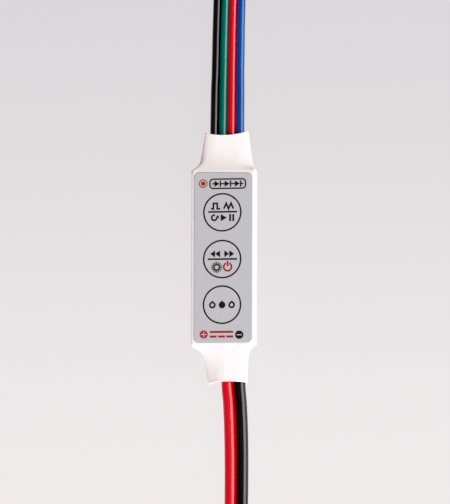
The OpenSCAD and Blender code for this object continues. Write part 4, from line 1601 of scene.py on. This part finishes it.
@dataclass
class Key:
    """One round key of the film, with its half of the printed ring and its sign.

    The signs are drawn round the middle of the key.
    """

    name: str
    body: Body
    film_edge: float = 0.012
    steps: int = 128
    ring_line: float = 0.15
    line: float = 0.34
    bar_x: float = 0.05
    bar_t: float = 0.32
    bar_r: float = 0.15
    sun_at: Point = (-1.05, -1.57)
    sun_rs: Point = (0.66, 0.37)
    sun_steps: int = 48
    ray_count: int = 16
    ray_reach: float = 0.88
    ray_size: Triple = (0.4, 0.19, 0.05)
    power_at: Point = (1.05, -1.5)
    power_r: float = 0.92
    power_gap: Point = (114, 426)
    power_bar: Triple = (0.62, 1.04, 0.06)
    drop_r: float = 0.64
    drop_ends: Point = (-0.7, 0.78)
    drop_steps: int = 40

    def __post_init__(self) -> None:
        """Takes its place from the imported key."""
        low, high = box_mm(self.name + "_key")
        self.x, self.y = (low.x + high.x) / 2, (low.y + high.y) / 2
        self.r = (high.x - low.x) / 2
        self.low, self.top = low.z, high.z
        self.press = Press(self.body, self.top, self.name + "_")

    def film(self) -> Piece:
        """Builds the disc of film.

        Returns:
            The piece.
        """
        film = Film(self.x, self.y).disc(0, 0, self.r, self.steps)
        mesh = film.mesh("film", self.low, self.top, self.film_edge)
        return put(painted(mesh, Slot.LABEL), self.name + "_film", Slot.LABEL, self.name + "_key",
                   body=self.body)

    def bar(self, film: Film, y: float, w: float) -> None:
        """Adds the bar that parts the upper sign from the lower one."""
        film.plate(self.bar_x, y, w, self.bar_t, self.bar_r)

    def mode_sign(self, film: Film) -> None:
        """Draws a square wave and a zigzag over a bar, with loop, play and pause below.

        Args:
            film: The film of ink.
        """
        low, high = 0.68, 1.72
        film.stroke([(-2.15, low), (-1.72, low), (-1.72, high), (-0.98, high), (-0.98, low), (-0.42, low)],
                    self.line)
        film.stroke([(0.28, low), (0.74, high), (1.2, low), (1.66, high), (2.12, low)], self.line)
        self.bar(film, 0.09, 5.6)
        row, loop_r, play_h, pause_w, pause_h = -1.03, 0.66, 0.68, self.line + 0.03, 1.34
        film.band(-1.55, row, loop_r, self.line, 75, 360)
        film.outline([(-1.3, row - 0.04), (-0.52, row - 0.04), (-0.9, row + 0.56)])
        film.outline([(-0.3, row - play_h), (0.88, row), (-0.3, row + play_h)])
        for x in (1.5, 2.1):
            film.plate(x, row, pause_w, pause_h, 0.05)

    def speed_sign(self, film: Film) -> None:
        """Draws arrows for slower and faster over a bar, with a sun below.

        Args:
            film: The film of ink.
        """
        row, arrow_l, arrow_h = 1.0, 0.94, 0.66
        for side in (-1, 1):
            for x in (0.4, 1.36):
                film.outline([(side * x, row - arrow_h), (side * (x + arrow_l), row),
                              (side * x, row + arrow_h)])
        self.bar(film, 0.0, 5.66)
        film.ring(*self.sun_at, *self.sun_rs, self.sun_steps)

    def color_sign(self, film: Film) -> None:
        """Draws a row of three drops, the middle one full."""
        for x, inset in ((-1.85, 0), (-1.85, self.line), (0, 0), (1.85, 0), (1.85, self.line)):
            self.drop(film, x, inset)

    def drop(self, film: Film, x: float, inset: float) -> None:
        """Draws a drop with its tip up.

        Args:
            film: The film of ink.
            x: Middle of the drop across.
            inset: Distance by which it is drawn in.
        """
        foot, tip = self.drop_ends
        middle = foot + self.drop_r
        size = self.drop_r - inset
        lean = math.degrees(math.acos(self.drop_r / (tip - middle)))
        top = (x, middle + size / math.cos(math.radians(lean)))
        film.outline([top] + film.arc(x, middle, size, 90 + lean, 450 - lean, self.drop_steps))

    def rays(self) -> Piece:
        """Builds the rays of the sun.

        Returns:
            The piece.
        """
        tree = Tree("sun_rays", {"Count": "Int", "Reach": "Float", "Centre": "Vector"})
        ray = tree.step("GeometryNodeTransform", {
            "Geometry": tree.given["Geometry"], "Translation": tree.vector(X=tree.given["Reach"])})
        tree.close(tree.step("GeometryNodeTransform", {
            "Geometry": tree.wheel(ray, tree.given["Count"]), "Translation": tree.given["Centre"]}))
        film = Film().plate(0, 0, *self.ray_size)
        x, y = self.sun_at
        mesh = tree.run(self.press.mesh(film, "ray", self.press.sunk), {
            "Count": self.ray_count, "Reach": self.ray_reach * MM,
            "Centre": ((self.x + x) * MM, (self.y + y) * MM, 0), "Material": material_of(Ink.BLACK)})
        return put(smoothed(mesh, Film.sharp), self.name + "_rays", Slot.LABEL, body=self.body)

    def power_mark(self) -> Film:
        """Returns the sign for on and off.

        Returns:
            The film of ink.
        """
        x, y = self.power_at
        rise, bar_h, bar_r = self.power_bar
        film = Film(self.x, self.y).band(x, y, self.power_r, self.line, *self.power_gap)
        return film.plate(x, y + rise, self.line, bar_h, bar_r)

    def build(self) -> None:
        """Builds the film and everything that is printed on it."""
        self.film()
        ring = Film(self.x, self.y).ring(0, 0, self.r + RING_OVER, self.r - self.ring_line)
        self.press.print(ring, "ring", Ink.BLACK, (self.top - self.low) * RING_DEPTH)
        sign = Film(self.x, self.y)
        draw = {Body.MODE: self.mode_sign, Body.SPEED: self.speed_sign, Body.COLOR: self.color_sign}
        draw[self.body](sign)
        self.press.print(sign, "sign", Ink.BLACK)
        if self.body is Body.SPEED:
            self.rays()
            self.press.print(self.power_mark(), "power_mark", Ink.RED)


@dataclass
class Label:
    """The grey printed film round the keys."""

    corner_r: float = 1.0
    corner_steps: int = 16
    hole_steps: int = 128
    askew: float = 0.19
    edge: float = 0.095
    ring_line: float = 0.11
    line: float = 0.27
    header_at: Point = (0.96, 13.98)
    header_size: Triple = (7.1, 2.05, 0.76)
    diodes: Triple = (-1.95, 0.0, 1.95)
    diode_size: Triple = (0.6, 0.38, 0.6)
    diode_bar: Point = (0.3, 0.03)
    diode_slit: float = 0.01
    wire: Point = (0.26, 0.02)
    wire_reach: float = 3.0
    disc_steps: int = 64
    dot_steps: int = 48
    dot_at: Point = (-3.77, 14.04)
    dot_rs: Triple = (0.83, 0.63, 0.44)
    plus_at: Point = (-3.54, -14.8)
    plus_r: float = 0.78
    plus_arm: Point = (0.56, 0.085)
    minus_at: Point = (3.25, -14.9)
    minus_r: float = 0.8
    minus_arm: Triple = (0.98, 0.18, 0.03)
    current_at: Point = (-0.14, -14.78)
    current_size: Triple = (4.46, 0.4, 0.04)
    current_gap: float = 0.44
    dash: Point = (1.3, 1.58)

    def __post_init__(self) -> None:
        """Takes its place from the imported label."""
        self.low, self.high = box_mm("face_label")
        self.press = Press(Body.CONTROLLER, self.high.z)

    def film(self, keys: Sequence[Key]) -> Piece:
        """Builds the film, cut a little askew at its upper edge, with a hole for each key.

        Args:
            keys: The keys.

        Returns:
            The piece.
        """
        film = Film()
        r = self.corner_r
        right, left = self.high.x - r, self.low.x + r
        low, high = self.low.y + r, self.high.y - r
        corners = [(right, low, -90), (right, high - self.askew, 0), (left, high, 90), (left, low, 180)]
        film.outline([point for x, y, start in corners
                      for point in film.arc(x, y, r, start, start + 90, self.corner_steps)])
        for key in keys:
            film.disc(key.x, key.y, key.r + KEY_GAP, self.hole_steps)
        mesh = film.mesh("label", self.low.z, self.high.z, self.edge)
        return put(painted(mesh, Slot.LABEL), "label_film", Slot.LABEL, "face_label")

    def rings(self, keys: Sequence[Key]) -> None:
        """Prints the outer part of the ring round each key.

        Args:
            keys: The keys.
        """
        film = Film()
        for key in keys:
            inner = key.r + KEY_GAP - RING_OVER
            film.ring(key.x, key.y, inner + self.ring_line, inner)
        self.press.print(film, "label_rings", Ink.BLACK, (self.high.z - self.low.z) * RING_DEPTH)

    def header(self) -> None:
        """Prints the header: a boxed row of diodes, and a red dot beside it."""
        w, h, r = self.header_size
        film = Film(*self.header_at).plate(0, 0, w, h, r)
        film.plate(0, 0, w - 2 * self.line, h - 2 * self.line, r - self.line)
        before, after, tall = self.diode_size
        slit, (bar, bar_r), start = self.diode_slit, self.diode_bar, -self.wire_reach
        for x in self.diodes:
            base, tip = x - before, x + after
            film.plate((start + base) / 2, 0, base - start - slit, *self.wire)
            film.outline([(base, -tall), (tip, 0), (base, tall)])
            film.plate(tip + slit + bar / 2, 0, bar, 2 * tall, bar_r)
            start = tip + slit + bar + slit
        film.plate((start + self.wire_reach) / 2, 0, self.wire_reach - start, *self.wire)
        self.press.print(film, "header_sign", Ink.BLACK)
        outer, inner, dot = self.dot_rs
        film = Film(*self.dot_at).ring(0, 0, outer, inner, self.disc_steps).disc(0, 0, dot, self.dot_steps)
        self.press.print(film, "header_dot", Ink.RED)

    def polarity(self) -> None:
        """Prints the plus, the sign for direct current and the minus."""
        arm, thin = self.plus_arm
        x, y = self.plus_at
        cross = [(-thin, arm), (-thin, thin), (-arm, thin), (-arm, -thin), (-thin, -thin), (-thin, -arm),
                 (thin, -arm), (thin, -thin), (arm, -thin), (arm, thin), (thin, thin), (thin, arm)]
        film = Film().disc(x, y, self.plus_r, self.disc_steps).outline([(x + a, y + b) for a, b in cross])
        x, y = self.current_at
        w, h, r = self.current_size
        dash_l, dash_pitch = self.dash
        film.plate(x, y + self.current_gap, w, h, r)
        for k in (-1, 0, 1):
            film.plate(x + k * dash_pitch, y - self.current_gap, dash_l, h, r)
        self.press.print(film, "plus_sign", Ink.RED)
        film = Film(*self.minus_at).disc(0, 0, self.minus_r, self.disc_steps).plate(0, 0, *self.minus_arm)
        self.press.print(film, "minus_sign", Ink.BLACK)

    def build(self, keys: Sequence[Key]) -> None:
        """Builds the film and everything that is printed on it.

        Args:
            keys: The keys.
        """
        self.film(keys)
        self.rings(keys)
        self.header()
        self.polarity()


def dress_packed_nodes() -> None:
    """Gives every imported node, which keeps its own shape, the finish of its slot."""
    slots = {part["node"]: Slot(part["material_slot"]) for part in frame["record"]["subparts"]}
    for name, node in frame["nodes"].items():
        painted(node.data, slots[name])
    log.info("%d packed nodes dressed", len(slots))


def main() -> None:
    """Builds the studio, the leads and the controller in order."""
    logging.basicConfig(level=logging.INFO, format="%(message)s")
    Studio().build()
    dress_packed_nodes()
    sweep = sweep_tree()
    ribbon, pair = output_lead(), power_lead()
    connector = OutputConnector()
    power_mouth, output_mouth = (abs(end.y) for end in box_mm("shrink_sleeve"))
    ribbon.declare(ribbon.build(sweep), output_mouth, "connector",
                   [connector.housing(), connector.contacts()])
    pair.declare(pair.build(sweep), power_mouth, "bare", [TinnedTails().build(pair)])
    keys = [Key("mode", Body.MODE), Key("speed", Body.SPEED), Key("color", Body.COLOR)]
    Sleeve().build(keys)
    Label().build(keys)
    for key in keys:
        key.build()


if __name__ == "__main__":
    main()
